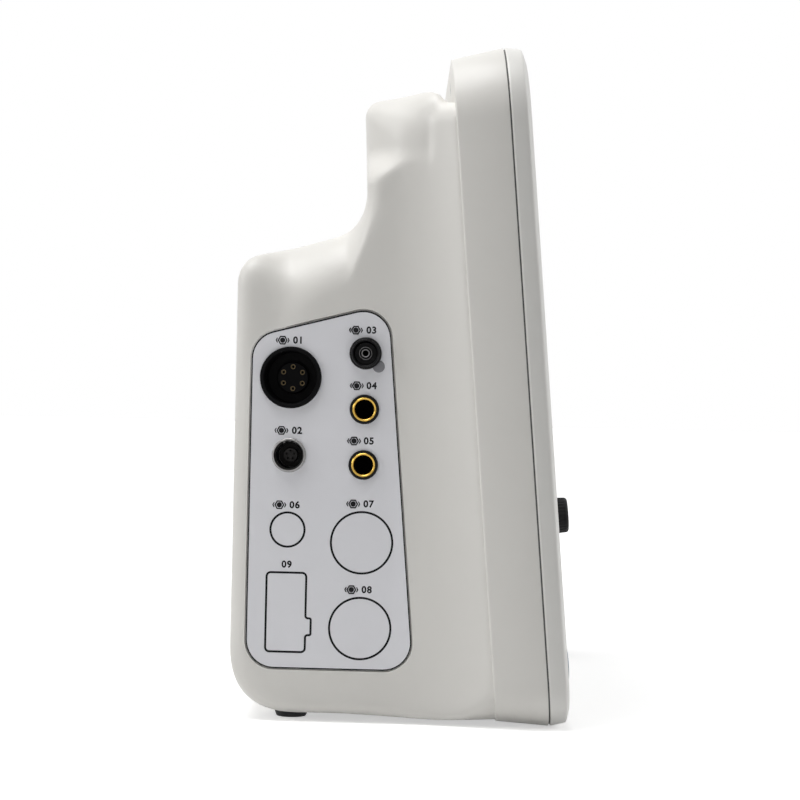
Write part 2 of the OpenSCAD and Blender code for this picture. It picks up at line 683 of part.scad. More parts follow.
// A cup with a hub that grips the shaft and a skirt that hides the bushing.
module knob() color("#1c1c1e") knob_frame() difference() {
    rotate_extrude() polygon(rounded([
        [0, bezel_t + knob_gap, 0], [knob_r, bezel_t + knob_gap, 0.4], [knob_face_r, knob_front, knob_edge_r],
        [0, knob_front, 0]]));
    translate([0, 0, bezel_t + knob_gap - LAP]) cylinder(r = bushing_r + 0.8, h = bushing_tip + press_travel + 0.4 - bezel_t - knob_gap + LAP);
    translate([0, 0, bezel_t]) cylinder(r = shaft_r, h = knob_front - 3 - bezel_t);
}

// --- port plate and ports --------------------------------------------------------------------------------------------

co2_z = 75.2;
co2_r = 7;
ibp_z = [70.7, 37.2];
ibp_r = 12.2;
slot_z = 42.9;
slot_size = [31.8, 16.4];             // height and width of the marked slot
groove_w = 0.7;
groove_depth = 0.35;

module ring_groove(r) translate([0, 0, -groove_depth]) tube(r, r - groove_w, 0, groove_depth + LAP);

module port_plate() color("lightslategray") difference() {
    side_skin(0, plate_t, plate_outline(0));
    port_cutters(plate_t + LAP);
    port(rear_column, co2_z) ring_groove(co2_r);
    for (z = ibp_z) port(front_column, z) ring_groove(ibp_r);
    port(rear_column, slot_z) translate([0, 0, -groove_depth]) linear_extrude(groove_depth + LAP) difference() {
        polygon(box_outline(-slot_size.x / 2, slot_size.x / 2, -slot_size.y / 2, slot_size.y / 2, 2));
        polygon(box_outline(-slot_size.x / 2 + groove_w, slot_size.x / 2 - groove_w, -slot_size.y / 2 + groove_w,
                            slot_size.y / 2 - groove_w, 1.4));
    }
}

ecg_bore_r = ecg_barrel_r - 0.9;
ecg_depth = 11;
ecg_pin_ring = 4.3;
board_x = 20;                          // how far the parameter board is behind the side's surface

module ecg_socket() color("#18181a") port(rear_column, ecg_z) difference() {
    union() {
        cylinder(r1 = ecg_r, r2 = ecg_r - 0.6, h = 1.6);
        translate([0, 0, -ecg_depth - 3]) cylinder(r = ecg_barrel_r, h = ecg_depth + 3.5);
    }
    translate([0, 0, -ecg_depth]) cylinder(r = ecg_bore_r, h = ecg_depth + 2);
    for (k = [0:5]) rotate([0, 0, 60 * k + 30]) translate([ecg_pin_ring, 0, -ecg_depth - 4]) cylinder(r = 1, h = 6, $fn = 24);
}

module ecg_contacts() color("gold") port(rear_column, ecg_z) for (k = [0:5]) rotate([0, 0, 60 * k + 30])
    translate([ecg_pin_ring, 0, -ecg_depth - 6]) difference() {
        cylinder(r = 0.98, h = 5.6, $fn = 24);
        translate([0, 0, 3]) cylinder(r = 0.6, h = 4, $fn = 24);
    }

oxi_bore_r = oxi_barrel_r - 0.75;
oxi_depth = 9;
oxi_insert_r = oxi_bore_r - 0.6;

module oxi_socket() color("silver") port(rear_column, oxi_z) difference() {
    union() {
        rotate_extrude() polygon([[0, 0], [oxi_r, 0], [oxi_r, 1.1], [oxi_r - 0.7, 1.9], [0, 1.9]]);
        translate([0, 0, -oxi_depth - 5]) cylinder(r = oxi_barrel_r, h = oxi_depth + 5.5);
    }
    translate([0, 0, -oxi_depth]) cylinder(r = oxi_bore_r, h = oxi_depth + 3);
    translate([0, 0, -oxi_depth - 6]) cylinder(r = oxi_insert_r + 0.02, h = 7);
    for (a = [-24, 0, 24]) rotate([0, 0, a]) translate([oxi_bore_r - 0.5, -0.5, -2]) cube([0.85, 1, 5]);
}

module oxi_insert() color("#202024") port(rear_column, oxi_z) difference() {
    translate([0, 0, -oxi_depth - 4.5]) cylinder(r = oxi_insert_r, h = 4.4);
    for (k = [0:4]) rotate([0, 0, 72 * k]) translate([2.7, 0, -oxi_depth - 3]) cylinder(r = 0.55, h = 5, $fn = 24);
}

nozzle_r = 2.6;
nozzle_bore_r = 1.55;
cuff_rise = 3.6;
cuff_well_r = cuff_barrel_r - 0.8;
cuff_well = 7;

module cuff_socket() color("#1a1a1a") port(front_column, cuff_z) difference() {
    union() {
        rotate_extrude() polygon([[0, 0], [cuff_r, 0], [cuff_r, cuff_rise - 0.8], [cuff_r - 0.8, cuff_rise], [0, cuff_rise]]);
        translate([0, 0, -cuff_well - 3]) cylinder(r = cuff_barrel_r, h = cuff_well + 3.5);
    }
    translate([0, 0, -cuff_well]) cylinder(r = cuff_well_r, h = cuff_well + cuff_rise + LAP);
    translate([0, 0, -cuff_well - 4]) cylinder(r = nozzle_r + 0.02, h = 5);
}

module cuff_nozzle() color("silver") port(front_column, cuff_z)
    tube(nozzle_r, nozzle_bore_r, -cuff_well - 9, cuff_rise - 1.6);

module temp_nut(i) color("#141414") port(front_column, jack_z[i]) tube(jack_r, jack_barrel_r - 0.03, 0, 1);

module temp_jack(i) color("gold") port(front_column, jack_z[i]) difference() {
    union() {
        translate([0, 0, -jack_len]) cylinder(r = jack_barrel_r, h = jack_len - 0.05);
        translate([0, 0, -LAP / 2]) cylinder(r = jack_barrel_r - 0.05, h = LAP / 2 + 1.6);
    }
    translate([0, 0, -jack_len + 1.2]) cylinder(r = jack_bore_r, h = jack_len + 4);
    translate([0, 0, 0.8]) cylinder(r1 = jack_bore_r, r2 = jack_bore_r + 0.9, h = 0.9);
}

// --- inside ------------------------------------------------------------------------------------------------------------

left_in = body_half - board_x;         // half width at the parameter board
pump_r = 13;
pump_len = 46;
pump_x = -76;
pump_z = base_lift + wall + 4;
pump_d = 78;

module parameter_board() color("darkgreen") body_frame() {
    block([board_t, 34, 110], [-left_in, 84, 46]);
    block([3, 16, 16], [-left_in + board_t, 92, 120]);
    block([6, 22, 26], [-left_in + board_t, 90, 86]);
    block([9, 12, 24], [-left_in + board_t, 98, 54]);
}

module cuff_pump() color("slategray") body_frame() {
    translate([pump_x, pump_d, pump_z + pump_r]) rotate([0, 90, 0]) cylinder(r = pump_r, h = pump_len);
    translate([pump_x + pump_len - LAP, pump_d, pump_z + pump_r]) rotate([0, 90, 0]) cylinder(r = pump_r - 3, h = 12);
    block([pump_len - 8, 20, 5], [pump_x + 4, pump_d - 10, base_lift + wall]);
}

module cuff_valve() color("gray") body_frame() {
    block([20, 24, 16], [tube_x - 10, front_column - 12, base_lift + wall]);
    translate([tube_x, front_column, base_lift + wall + 15]) cylinder(r = nozzle_r, h = 11);
    translate([tube_x + 9, front_column, pump_z + 9]) rotate([0, 90, 0]) cylinder(r = 3, h = pump_x - tube_x - 9);
}

tube_r = nozzle_r + 1.5;
bend_r = 10;
tube_x = -body_half + 50;             // where the tube runs upright

// Air tube from the valve up to the cuff socket's nozzle.
module air_tube() color("lightyellow") body_frame() {
    translate([-body_half + cuff_well + 4.2, front_column, cuff_z]) rotate([0, 90, 0])
        tube(tube_r, nozzle_r + 0.02, 0, tube_x - bend_r + body_half - cuff_well - 4.2);
    translate([tube_x - bend_r, front_column, cuff_z - bend_r]) rotate([90, 0, 0]) rotate_extrude(angle = 90)
        translate([bend_r, 0]) difference() {
            circle(r = tube_r);
            circle(r = nozzle_r + 0.02);
        }
    translate([tube_x, front_column, 0]) tube(tube_r, nozzle_r + 0.02, base_lift + wall + 18, cuff_z - bend_r);
}

module power_supply() color("olivedrab") body_frame() {
    block([92, board_t, 96], [-46, rear_in - 14, 42]);
    for (x = [-42, 42], z = [mount_z - 14, mount_z + mount_pitch - 15]) translate([x, rear_in - 14 + board_t, z])
        rotate([-90, 0, 0]) cylinder(r = 2.6, h = 14 - board_t - 0.02);
    block([26, 20, 30], [-40, rear_in - 34, 60]);
    block([30, 16, 24], [2, rear_in - 30, 92]);
    translate([30, rear_in - 14.5, 66]) rotate([90, 0, 0]) cylinder(r = 9, h = 22);
}

inlet_depth = 24;
inlet_rim = 1.5;
socket_w = 23.6;
socket_h = 16.4;
socket_z = 8.5;                        // height of the socket's middle above the inlet's middle
drawer_w = 22;
drawer_h = 14;
drawer_z = -14;
drawer_len = 20;

// Snap-in inlet with a three-pin socket above a drawer for two fuses.
module power_inlet() color("#222222") rear(inlet_x, inlet_z) difference() {
    union() {
        translate([-inlet_w / 2 + 0.1, -inlet_h / 2 + 0.1, -inlet_depth]) cube([inlet_w - 0.2, inlet_h - 0.2, inlet_depth - 0.05]);
        translate([-inlet_w / 2 - 2, -inlet_h / 2 - 2, -inlet_rim + 0.05]) cube([inlet_w + 4, inlet_h + 4, inlet_rim - 0.05]);
    }
    translate([-socket_w / 2, -socket_z - socket_h / 2, -18]) cube([socket_w, socket_h, 18 + LAP]);
    translate([-drawer_w / 2 - 0.2, -drawer_z - drawer_h / 2 - 0.2, -drawer_len - 0.5]) cube([drawer_w + 0.4, drawer_h + 0.4, drawer_len + 2]);
}

module inlet_pins() color("silver") rear(inlet_x, inlet_z) for (p = [[-7, 1.5], [0, -1.8], [7, 1.5]])
    translate([p.x - 1, -socket_z + p.y - 2, -18]) cube([2, 4, 13]);

module fuse_drawer() color("#2c2c2c") rear(inlet_x, inlet_z) translate([-drawer_w / 2, -drawer_z - drawer_h / 2, 0]) difference() {
    translate([0, 0, -drawer_len]) cube([drawer_w, drawer_h, drawer_len - 0.2]);
    for (x = [1.4, drawer_w / 2 + 0.7]) translate([x, 1.5, -drawer_len + 1]) cube([drawer_w / 2 - 2.1, drawer_h, drawer_len - 3]);
}

module fuses() color("lightcyan") rear(inlet_x, inlet_z) for (s = [-1, 1])
    translate([s * drawer_w / 4, -drawer_z, -drawer_len + 1.2]) cylinder(r = 2.5, h = drawer_len - 3.6);

stud_r = 3;

// Earthing stud in a well, so that it ends level with the rear face.
module ground_stud() color("goldenrod") rear(stud_x, stud_z) {
    difference() {
        translate([0, 0, -13]) cylinder(r = stud_well_r - 0.1, h = 12);
        translate([0, 0, -11.5]) cylinder(r = stud_well_r - 1, h = 12);
    }
    translate([0, 0, -12]) cylinder(r = stud_r, h = 11.5);
}

module network_jack() color("silver") rear(net_x, jack_row_z) difference() {
    translate([-net_size.x / 2 + 0.1, -net_size.y / 2 + 0.1, -21]) cube([net_size.x - 0.2, net_size.y - 0.2, 20.6]);
    translate([-5.9, -3.2, -13]) cube([11.8, 8, 14]);
    translate([-3, -5.6, -13]) cube([6, 4, 14]);
}

module mount_inserts() color("goldenrod") for (x = [-1, 1], z = [0, 1]) rear(x * mount_pitch / 2, mount_z + z * mount_pitch)
    tube(mount_r + 1.58, mount_r, -mount_depth, -0.3);

// --- battery -----------------------------------------------------------------------------------------------------------

bay_w = door_w - 6;
bay_h = door_h - 8;
bay_t = 1.5;
bay_z = hinge_z + 5;
knuckle_len = 12;
knuckle_x = door_w / 2 - 12;

// Where the hinge's axis runs: local x along it, at the door's middle.
module hinge_frame() body_frame() translate([door_x, hinge_d, hinge_z]) children();

module along_x(r, x0, x1) translate([x0, 0, 0]) rotate([0, 90, 0]) cylinder(r = r, h = x1 - x0);

tray_d = body_depth - 2 * hinge_r - 0.4;   // depth of the tray's floor behind the door
tray_low = hinge_z - hinge_r - door_gap;
tray_high = hinge_z + door_h + door_gap;

// Bay for the battery, with a tray that closes the space behind the door and carries the hinge's ears.
module battery_bay() color("gainsboro") {
    body_frame() difference() {
        union() {
            block([bay_w + 2 * bay_t, bay_depth + bay_t, bay_h + 2 * bay_t],
                  [door_x - bay_w / 2 - bay_t, tray_d - bay_depth - bay_t, bay_z - bay_t]);
            block([door_w + 2 * door_gap + 4, rear_in - tray_d + bay_t, tray_high - tray_low + 4],
                  [door_x - door_w / 2 - door_gap - 2, tray_d - bay_t, tray_low - 2]);
        }
        block([bay_w, bay_depth + LAP, bay_h], [door_x - bay_w / 2, tray_d - bay_depth, bay_z]);
        block([door_w + 2 * door_gap, wall, tray_high - tray_low], [door_x - door_w / 2 - door_gap, tray_d, tray_low]);
    }
    hinge_frame() for (s = [-1, 1]) translate([s * (knuckle_x - knuckle_len / 2 - 3), 0, 0]) difference() {
        union() {
            block([4, hinge_d - tray_d + 0.5, 2 * hinge_r], [-2, tray_d - hinge_d - 0.5, -hinge_r]);
            along_x(hinge_r, -2, 2);
        }
        along_x(pin_r + 0.01, -LAP - 2, LAP + 2);
    }
}

module battery_pack() color("steelblue") body_frame() block([bay_w - 1.2, bay_depth - 1.5, bay_h - 1.2],
    [door_x - bay_w / 2 + 0.6, tray_d - bay_depth + 0.2, bay_z + 0.6]);

module battery_door() color("gainsboro") hinge_frame() difference() {
    union() {
        translate([-door_w / 2, 0, hinge_r + 0.6]) cube([door_w, door_t, door_h - hinge_r - 0.6]);
        for (s = [-1, 1]) {
            along_x(hinge_r, s * knuckle_x - knuckle_len / 2, s * knuckle_x + knuckle_len / 2);
            translate([s * knuckle_x - knuckle_len / 2, 0, 0]) cube([knuckle_len, door_t, hinge_r + 0.7]);
        }
    }
    along_x(pin_r + pin_gap, -door_w, door_w);
    // finger scoop at the top edge
    translate([-10, door_t - 1, door_h - 6]) cube([20, 2, 8]);
}

module hinge_pin() color("silver") hinge_frame() along_x(pin_r, -knuckle_x - knuckle_len / 2 + 0.5, knuckle_x + knuckle_len / 2 - 0.5);

// --- speaker, feet, screws ---------------------------------------------------------------------------------------------

module speaker() color("#303030") speaker_frame() {
    translate([0, 0, -wall - 2.45]) tube(speaker_r, speaker_r - 2.4, 0, 2.4);
    translate([0, 0, -wall - 3]) cylinder(r = speaker_r, h = 1);
    translate([0, 0, -wall - 9]) cylinder(r1 = speaker_r - 8, r2 = speaker_r - 2, h = 6.5);
    translate([0, 0, -wall - 15]) cylinder(r = speaker_r - 7, h = 6.5);
}

module feet_rear() color("#26262a") for (s = [-1, 1]) body_frame() translate([s * (body_half - foot_in), foot_d, 0]) {
    cylinder(r1 = foot_r - 1.2, r2 = foot_r, h = base_lift);
    translate([0, 0, base_lift - 0.1]) cylinder(r = foot_r, h = foot_top - base_lift);
}

module feet_front() color("#26262a") for (s = [-1, 1]) intersection() {
    front_frame() translate([s * front_foot_x, front_foot_y, -2 * LAP]) cylinder(r = front_foot_r, h = 2 * LAP + 2.3);
    translate([-panel_w / 2, part_y - 30, 0]) cube([panel_w, 100, 10]);
}

module screw(len) {
    translate([0, 0, -len]) cylinder(r = screw_r - 0.25, h = len);
    difference() {
        cylinder(r = screw_head_r, h = 1.5);
        translate([-0.5, -2, 0.6]) cube([1, 4, 2]);
        translate([-2, -0.5, 0.6]) cube([4, 1, 2]);
    }
}

module housing_screws() color("silver") {
    for (p = screw_spots) rear(p.x, p.y) translate([0, 0, -1.55]) screw(10);
    for (s = [-1, 1]) front_frame() translate([s * top_screw_x, flange_depth, top_screw_u]) rotate([-90, 0, 0])
        translate([0, 0, -1.55]) screw(10);
}

rear_housing();
front_bezel();
front_seal();
display_glass();
lcd_module();
chassis_plate();
main_board();
board_standoffs();
key_board();
power_board();
alarm_lamp();
indicator_lenses();
power_key();
key(0);  // key_1
key(1);  // key_2
key(2);  // key_3
key(3);  // key_4
key(4);  // key_5
key(5);  // key_6
encoder_body();
encoder_plunger();
encoder_shaft();
knob();
port_plate();
ecg_socket();
ecg_contacts();
oxi_socket();
oxi_insert();
cuff_socket();
cuff_nozzle();
temp_nut(0);  // temp_nut_1
temp_nut(1);  // temp_nut_2
temp_jack(0);  // temp_jack_1
temp_jack(1);  // temp_jack_2
parameter_board();
cuff_pump();
cuff_valve();
air_tube();
power_supply();
power_inlet();
inlet_pins();
fuse_drawer();
fuses();
ground_stud();
network_jack();
mount_inserts();
battery_bay();
battery_pack();
battery_door();
hinge_pin();
speaker();
feet_rear();
feet_front();
housing_screws();
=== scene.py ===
import math

import bmesh
import bpy
import numpy as np
from mathutils import Matrix, Vector


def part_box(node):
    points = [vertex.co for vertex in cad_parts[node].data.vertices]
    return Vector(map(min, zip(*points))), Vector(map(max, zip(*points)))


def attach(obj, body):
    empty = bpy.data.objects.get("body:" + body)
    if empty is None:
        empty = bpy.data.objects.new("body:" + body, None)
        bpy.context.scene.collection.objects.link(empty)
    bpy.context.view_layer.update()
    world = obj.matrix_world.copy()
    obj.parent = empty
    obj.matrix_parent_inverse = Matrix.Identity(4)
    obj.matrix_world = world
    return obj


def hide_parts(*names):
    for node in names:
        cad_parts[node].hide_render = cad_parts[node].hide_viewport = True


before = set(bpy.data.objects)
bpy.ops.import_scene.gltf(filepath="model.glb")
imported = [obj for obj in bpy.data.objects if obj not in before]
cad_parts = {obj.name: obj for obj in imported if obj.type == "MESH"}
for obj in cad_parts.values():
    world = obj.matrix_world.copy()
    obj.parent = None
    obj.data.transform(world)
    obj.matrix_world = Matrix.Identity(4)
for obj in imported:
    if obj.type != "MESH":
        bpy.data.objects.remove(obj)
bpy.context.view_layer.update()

MM = 0.001

# --- sizes, in millimetres ---
# Most are the CAD's. FLARE_START belongs to this skin's own curve.
PANEL_W, PANEL_H, CORNER_R, CORNER_LOW_R = 315.0, 267.5, 30.0, 20.0
TILT = math.radians(5)
COS, SIN, TIP = math.cos(TILT), math.sin(TILT), math.tan(TILT)
PART_Z = 0.4
BODY_DEPTH = 126.0
PART_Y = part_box("rear_housing")[1].y / MM - BODY_DEPTH
FLANGE_DEPTH, FLANGE_INSET = 21.0, 3.3
BODY_HALF = PANEL_W / 2 - 14.5
WALL = 3.0
BASE = 3.1
SHOULDER_Z, SHOULDER_TAN = 182.7, math.tan(math.radians(14.5))
HANDLE_BACK, HANDLE_FRONT = 75.0, 45.3
HANDLE_Z = PART_Z + PANEL_H * COS - 16.5
VALLEY_Z = HANDLE_Z - 7.0
TAPER_ANGLE, TAPER_START = math.radians(3.3), 81.0
FLARE_START = 68.0
SCREEN_W, SCREEN_H, SCREEN_X0, SCREEN_U0 = 248.0, 186.5, -142.5, 47.0
CONTROL_X = 131.5
KNOB_U, KNOB_FRONT = 69.0, 29.4
REAR_COLUMN, FRONT_COLUMN = 104.0, 74.9
ECG_Z, OXI_Z, CUFF_Z, JACK_Z = 134.7, 104.3, 144.7, (122.8, 101.1)
CO2_Z, IBP_Z, SLOT_Z = 75.2, (70.7, 37.2), 42.9
PORT_HOLES = ((REAR_COLUMN, ECG_Z, 11.25), (REAR_COLUMN, OXI_Z, 6.35), (FRONT_COLUMN, CUFF_Z, 5.55),
              (FRONT_COLUMN, JACK_Z[0], 4.95), (FRONT_COLUMN, JACK_Z[1], 4.95))
KEYS_U = [122 + 19.5 * i for i in range(6)]
LAMP_U = 247.5
POWER_X, POWER_U = -131.5, 23
LIGHTS_X = [POWER_X + 18 + 9 * i for i in range(3)]
GRIP_HALF, GRIP_HEIGHT, GRIP_DEPTH, GRIP_R = 58.0, 31.0, 25.0, 7.0
VENTS_X, VENT_Z = [-100 + 12.5 * i for i in range(17)], 150
SPEAKER_D, SPEAKER_Z, GRILLE_STEP = 101, 132, 4.6
MOUNTS_X, MOUNTS_Z = (-37.5, 37.5), (62, 137)
REAR_SCREWS_X, TOP_SCREWS_X, TOP_SCREW_U = (-119, 119), (-95, 95), PANEL_H - 11
FEET_X, FOOT_D = (-121, 121), 101.8
DOOR_X, HINGE_D, HINGE_Z = 88, 123.6, 36
INLET_X, INLET_Z = -88, 54
STUD_X, STUD_Z = -58, 44
NETWORK_X, NETWORK_Z = -96, 100
INK_LOW, INK_HIGH = -0.1, 0.05


# --- placing ---
def smooth_taper(d):
    """How far a side has drawn in at a depth, with a soft start."""
    return (d - TAPER_START + np.sqrt((d - TAPER_START) ** 2 + 100)) / 2 * math.tan(TAPER_ANGLE)


def half_width(d):
    """Half width of the housing at a depth, without the flare."""
    return BODY_HALF - smooth_taper(d)


def body_point(x, d, z):
    return Vector((x, PART_Y + d, z)) * MM


def frame_matrix(origin, out, up):
    """Local x to the right, y up and z outwards, with millimetres as units."""
    out = Vector(out).normalized()
    up = Vector(up)
    side = up.cross(out).normalized()
    up = out.cross(side)
    m = Matrix((side, up, out)).transposed().to_4x4()
    m.translation = origin
    return m @ Matrix.Scale(MM, 4)


def side_frame(side, d, z):
    """On the left side for side -1, or on the right side for side 1, square to it."""
    a = TAPER_ANGLE if d > TAPER_START else 0.0
    x = side * float(half_width(np.float64(d)))
    return frame_matrix(body_point(x, d, z), (side * math.cos(a), math.sin(a), 0), (0, 0, 1))


def port_frame(d, z):
    return side_frame(-1, d, z)


def rear_frame(x, z):
    return frame_matrix(body_point(x, BODY_DEPTH, z), (0, 1, 0), (0, 0, 1))


def front_point(x, y, u):
    return Vector((x, PART_Y + y * COS + u * SIN, PART_Z - y * SIN + u * COS)) * MM


def front_frame(x, u):
    """Local z points out of the screen's side, from the parting plane."""
    return frame_matrix(front_point(x, 0.0, u), (0, -COS, SIN), (0, SIN, COS))


# --- meshes ---
def mesh_object(name, verts, faces, sharp=32.0):
    me = bpy.data.meshes.new(name)
    me.from_pydata([tuple(v) for v in verts], [], [tuple(int(i) for i in f) for f in faces])
    me.validate()
    ob = bpy.data.objects.new(name, me)
    bpy.context.scene.collection.objects.link(ob)
    shade(ob, sharp)
    return ob


def shade(ob, sharp=32.0):
    me = ob.data
    me.shade_smooth()
    me.set_sharp_from_angle(angle=math.radians(sharp))


def face_out(ob):
    bm = bmesh.new()
    bm.from_mesh(ob.data)
    bmesh.ops.recalc_face_normals(bm, faces=bm.faces)
    bm.to_mesh(ob.data)
    bm.free()
    return ob


def polar(r, degrees, centre=(0, 0)):
    """A point at a radius and an angle from a centre."""
    a = math.radians(degrees)
    return centre[0] + r * math.cos(a), centre[1] + r * math.sin(a)


def rounded_rect(x0, x1, y0, y1, r, n=8, low_r=None):
    """Points of a rounded rectangle, anticlockwise from the lower right corner."""
    r = max(min(r, (x1 - x0) / 2, (y1 - y0) / 2), 0.01)
    q = low_r or r
    pts = []
    for centre, start, radius in (((x1 - q, y0 + q), -90, q), ((x1 - r, y1 - r), 0, r),
                                  ((x0 + r, y1 - r), 90, r), ((x0 + q, y0 + q), 180, q)):
        pts += [polar(radius, start + 90 * i / n, centre) for i in range(n + 1)]
    return pts


def loft(name, loops, matrix=None, ring=False, sharp=32.0):
    """A skin through loops of equal length. ring joins the last loop to the first."""
    n = len(loops[0])
    verts = [Vector(p) for loop in loops for p in loop]
    faces = []
    for k in range(len(loops) if ring else len(loops) - 1):
        a, b = k * n, ((k + 1) % len(loops)) * n
        for i in range(n):
            j = (i + 1) % n
            faces.append((a + i, a + j, b + j, b + i))
    if not ring:
        faces.append(tuple(range(n - 1, -1, -1)))
        faces.append(tuple((len(loops) - 1) * n + i for i in range(n)))
    if matrix is not None:
        verts = [matrix @ v for v in verts]
    return face_out(mesh_object(name, verts, faces, sharp))


def lathe(name, profile, matrix, n=64, ring=False, sharp=32.0, wobble=None):
    """Turns (radius, height) points about local z. A profile that is no ring is capped at both ends."""
    loops = []
    for radius, z in profile:
        loop = []
        for i in range(n):
            r = radius if wobble is None else wobble(radius, z, i / n)
            a = 2 * math.pi * i / n
            loop.append((r * math.cos(a), r * math.sin(a), z))
        loops.append(loop)
    return loft(name, loops, matrix, ring=ring, sharp=sharp)


def pad(name, size, r, z0, z1, matrix, bevel=0.8, crown=0.0, centre=(0, 0), n=8):
    """A plate with rounded corners, a rounded upper edge and a crowned top."""
    edge_steps, crown_steps = 4, 7
    w, h = size
    cx, cy = centre

    def at(inset, z):
        x, y = w / 2, h / 2
        return [(px, py, z) for px, py in rounded_rect(cx - x + inset, cx + x - inset, cy - y + inset,
                                                       cy + y - inset, max(r - inset, 0.15), n)]
    loops = [at(0, z0)]
    for i in range(edge_steps + 1):
        a = math.pi / 2 * i / edge_steps
        loops.append(at(bevel * (1 - math.cos(a)), z1 - bevel + bevel * math.sin(a)))
    if crown:
        reach = min(w, h) / 2 - bevel
        for i in range(1, crown_steps):
            t = i / crown_steps
            loops.append(at(bevel + reach * t, z1 + crown * (1 - (1 - t) ** 2)))
    return loft(name, loops, matrix)


def cylinder(name, r, z0, z1, matrix, n=48):
    return lathe(name, [(r, z0), (r, z1)], matrix, n)


def join(name, obs):
    """One mesh out of several."""
    bm = bmesh.new()
    for o in obs:
        me = o.data.copy()
        me.transform(o.matrix_world)
        bm.from_mesh(me)
        bpy.data.meshes.remove(me)
        bpy.data.objects.remove(o)
    me = bpy.data.meshes.new(name)
    bm.to_mesh(me)
    bm.free()
    ob = bpy.data.objects.new(name, me)
    bpy.context.scene.collection.objects.link(ob)
    return ob


def combine(ob, other, operation="DIFFERENCE"):
    """Cuts other from ob, adds it or keeps what both share. Then other is removed."""
    mod = ob.modifiers.new("cut", "BOOLEAN")
    mod.operation = operation
    mod.solver = "MANIFOLD"
    mod.object = other
    dg = bpy.context.evaluated_depsgraph_get()
    dg.update()
    me = bpy.data.meshes.new_from_object(ob.evaluated_get(dg))
    ob.modifiers.clear()
    before = len(ob.data.polygons)
    old = ob.data
    ob.data = me
    bpy.data.meshes.remove(old)
    bpy.data.objects.remove(other)
    shade(ob)
    if len(me.polygons) == 0 or len(me.polygons) == before:
        raise RuntimeError("the boolean on %s did nothing" % ob.name)
    return ob


# --- the housing's surface ---
def smax(a, b, k):
    """The larger of two fields, rounded over where they are less than k apart."""
    h = np.maximum(k - np.abs(a - b), 0) / k
    return np.maximum(a, b) + h * h * k / 4


def smin(a, b, k):
    return -smax(-a, -b, k)


def step(lo, hi, v):
    """Rises smoothly from 0 at lo to 1 at hi. lo may be the larger one."""
    t = np.clip((v - lo) / (hi - lo), 0, 1)
    return t * t * (3 - 2 * t)


def silhouette(d, z):
    """Signed distance to the housing's side view, in depth and height."""
    base = BASE - 1.1 * step(88, 42, d)
    shoulder = (z - SHOULDER_Z - (BODY_DEPTH - 6 - d) * SHOULDER_TAN) * 0.968
    main = smax(smax(base - z, d - BODY_DEPTH, 26.0), shoulder, 10.0)
    lean = math.tan(math.radians(2.9))
    back = d - HANDLE_BACK - (z - 194.0) * lean
    top = smax(z - HANDLE_Z + 0.3, (z - HANDLE_Z + 0.3 + (d - 59.5) * 0.22) * 0.977, 9.0)
    handle = smax(smax(smax(back, top, 7.0), HANDLE_FRONT - d, 10.0), 150.0 - z, 1.0)
    side = smin(main, handle, 15.0)
    valley = np.maximum(np.maximum(z - VALLEY_Z, d - 58.0), 150.0 - z)
    return smin(side, valley, 2.0)


def edge_radius(d, z):
    """Radius between the housing's sides and its other faces."""
    handle = 6.0 + (2.0 + 19.0 * step(46, 70, d)) * step(211, 226, z)
    shoulder = 7.0 + 20.0 * step(0, 22, BODY_DEPTH - d) - 5.0 * step(105, 84, d)
    upper = shoulder + (handle - shoulder) * step(84, 74, d)
    low = 7.0 - 3.5 * step(80, 45, d)
    return low + (upper - low) * step(110, 150, z)


def flared_width(d, z):
    """Half width of the housing with the flare, and its slope."""
    power = 2.3
    rear = FLANGE_DEPTH * COS + (z + FLANGE_DEPTH * SIN) * TIP
    run = np.maximum(FLARE_START - rear, 3.0)
    t = np.clip((FLARE_START - d) / run, 0, 1)
    rise = PANEL_W / 2 - FLANGE_INSET - 0.35 - BODY_HALF
    return half_width(d) + rise * t ** power, power * rise * t ** (power - 1) / run


def rect_distance(x, y, half_x, half_y, r):
    """Signed distance to a rounded rectangle about the origin."""
    qx = np.abs(x) - half_x + r
    qy = np.abs(y) - half_y + r
    return np.hypot(np.maximum(qx, 0), np.maximum(qy, 0)) + np.minimum(np.maximum(qx, qy), 0) - r


def panel_distance(x, u, inset):
    """Signed distance to the panel's rounded outline, set in."""
    r = np.where(u < PANEL_H / 2, CORNER_LOW_R, CORNER_R) - inset
    return rect_distance(x, u - PANEL_H / 2, PANEL_W / 2 - inset, PANEL_H / 2 - inset, r)


def grip(x, d, z):
    """Signed distance to the finger pocket in the handle's rear."""
    middle = HANDLE_Z - 14.0 - GRIP_HEIGHT / 2
    mouth = rect_distance(x, z - middle, GRIP_HALF, GRIP_HEIGHT / 2, GRIP_R)
    return smax(mouth, HANDLE_BACK - GRIP_DEPTH - d, 9.0)


def shell_out(x, d, z):
    """Signed distance to the housing without its pocket."""
    a = silhouette(d, z)
    w, slope = flared_width(d, z)
    b = (np.abs(x) - w) / np.sqrt(1 + slope * slope)
    r = edge_radius(d, z)
    f = np.hypot(np.maximum(a + r, 0), np.maximum(b + r, 0)) + np.minimum(np.maximum(a, b) + r, 0) - r
    u = d * SIN + (z - PART_Z) * COS
    return smax(f, panel_distance(x, u, FLANGE_INSET + 0.35), 1.5)


def local_y(d, z):
    """Depth behind the tilted parting plane."""
    return d * COS - (z - PART_Z) * SIN


def outer_field(x, d, z):
    f = smax(shell_out(x, d, z), -grip(x, d, z), 7.0)
    return np.maximum(f, 19.5 - local_y(d, z))


def inner_field(x, d, z):
    f = np.maximum(shell_out(x, d, z) + WALL, WALL - grip(x, d, z))
    return np.maximum(f, 8.0 - local_y(d, z))


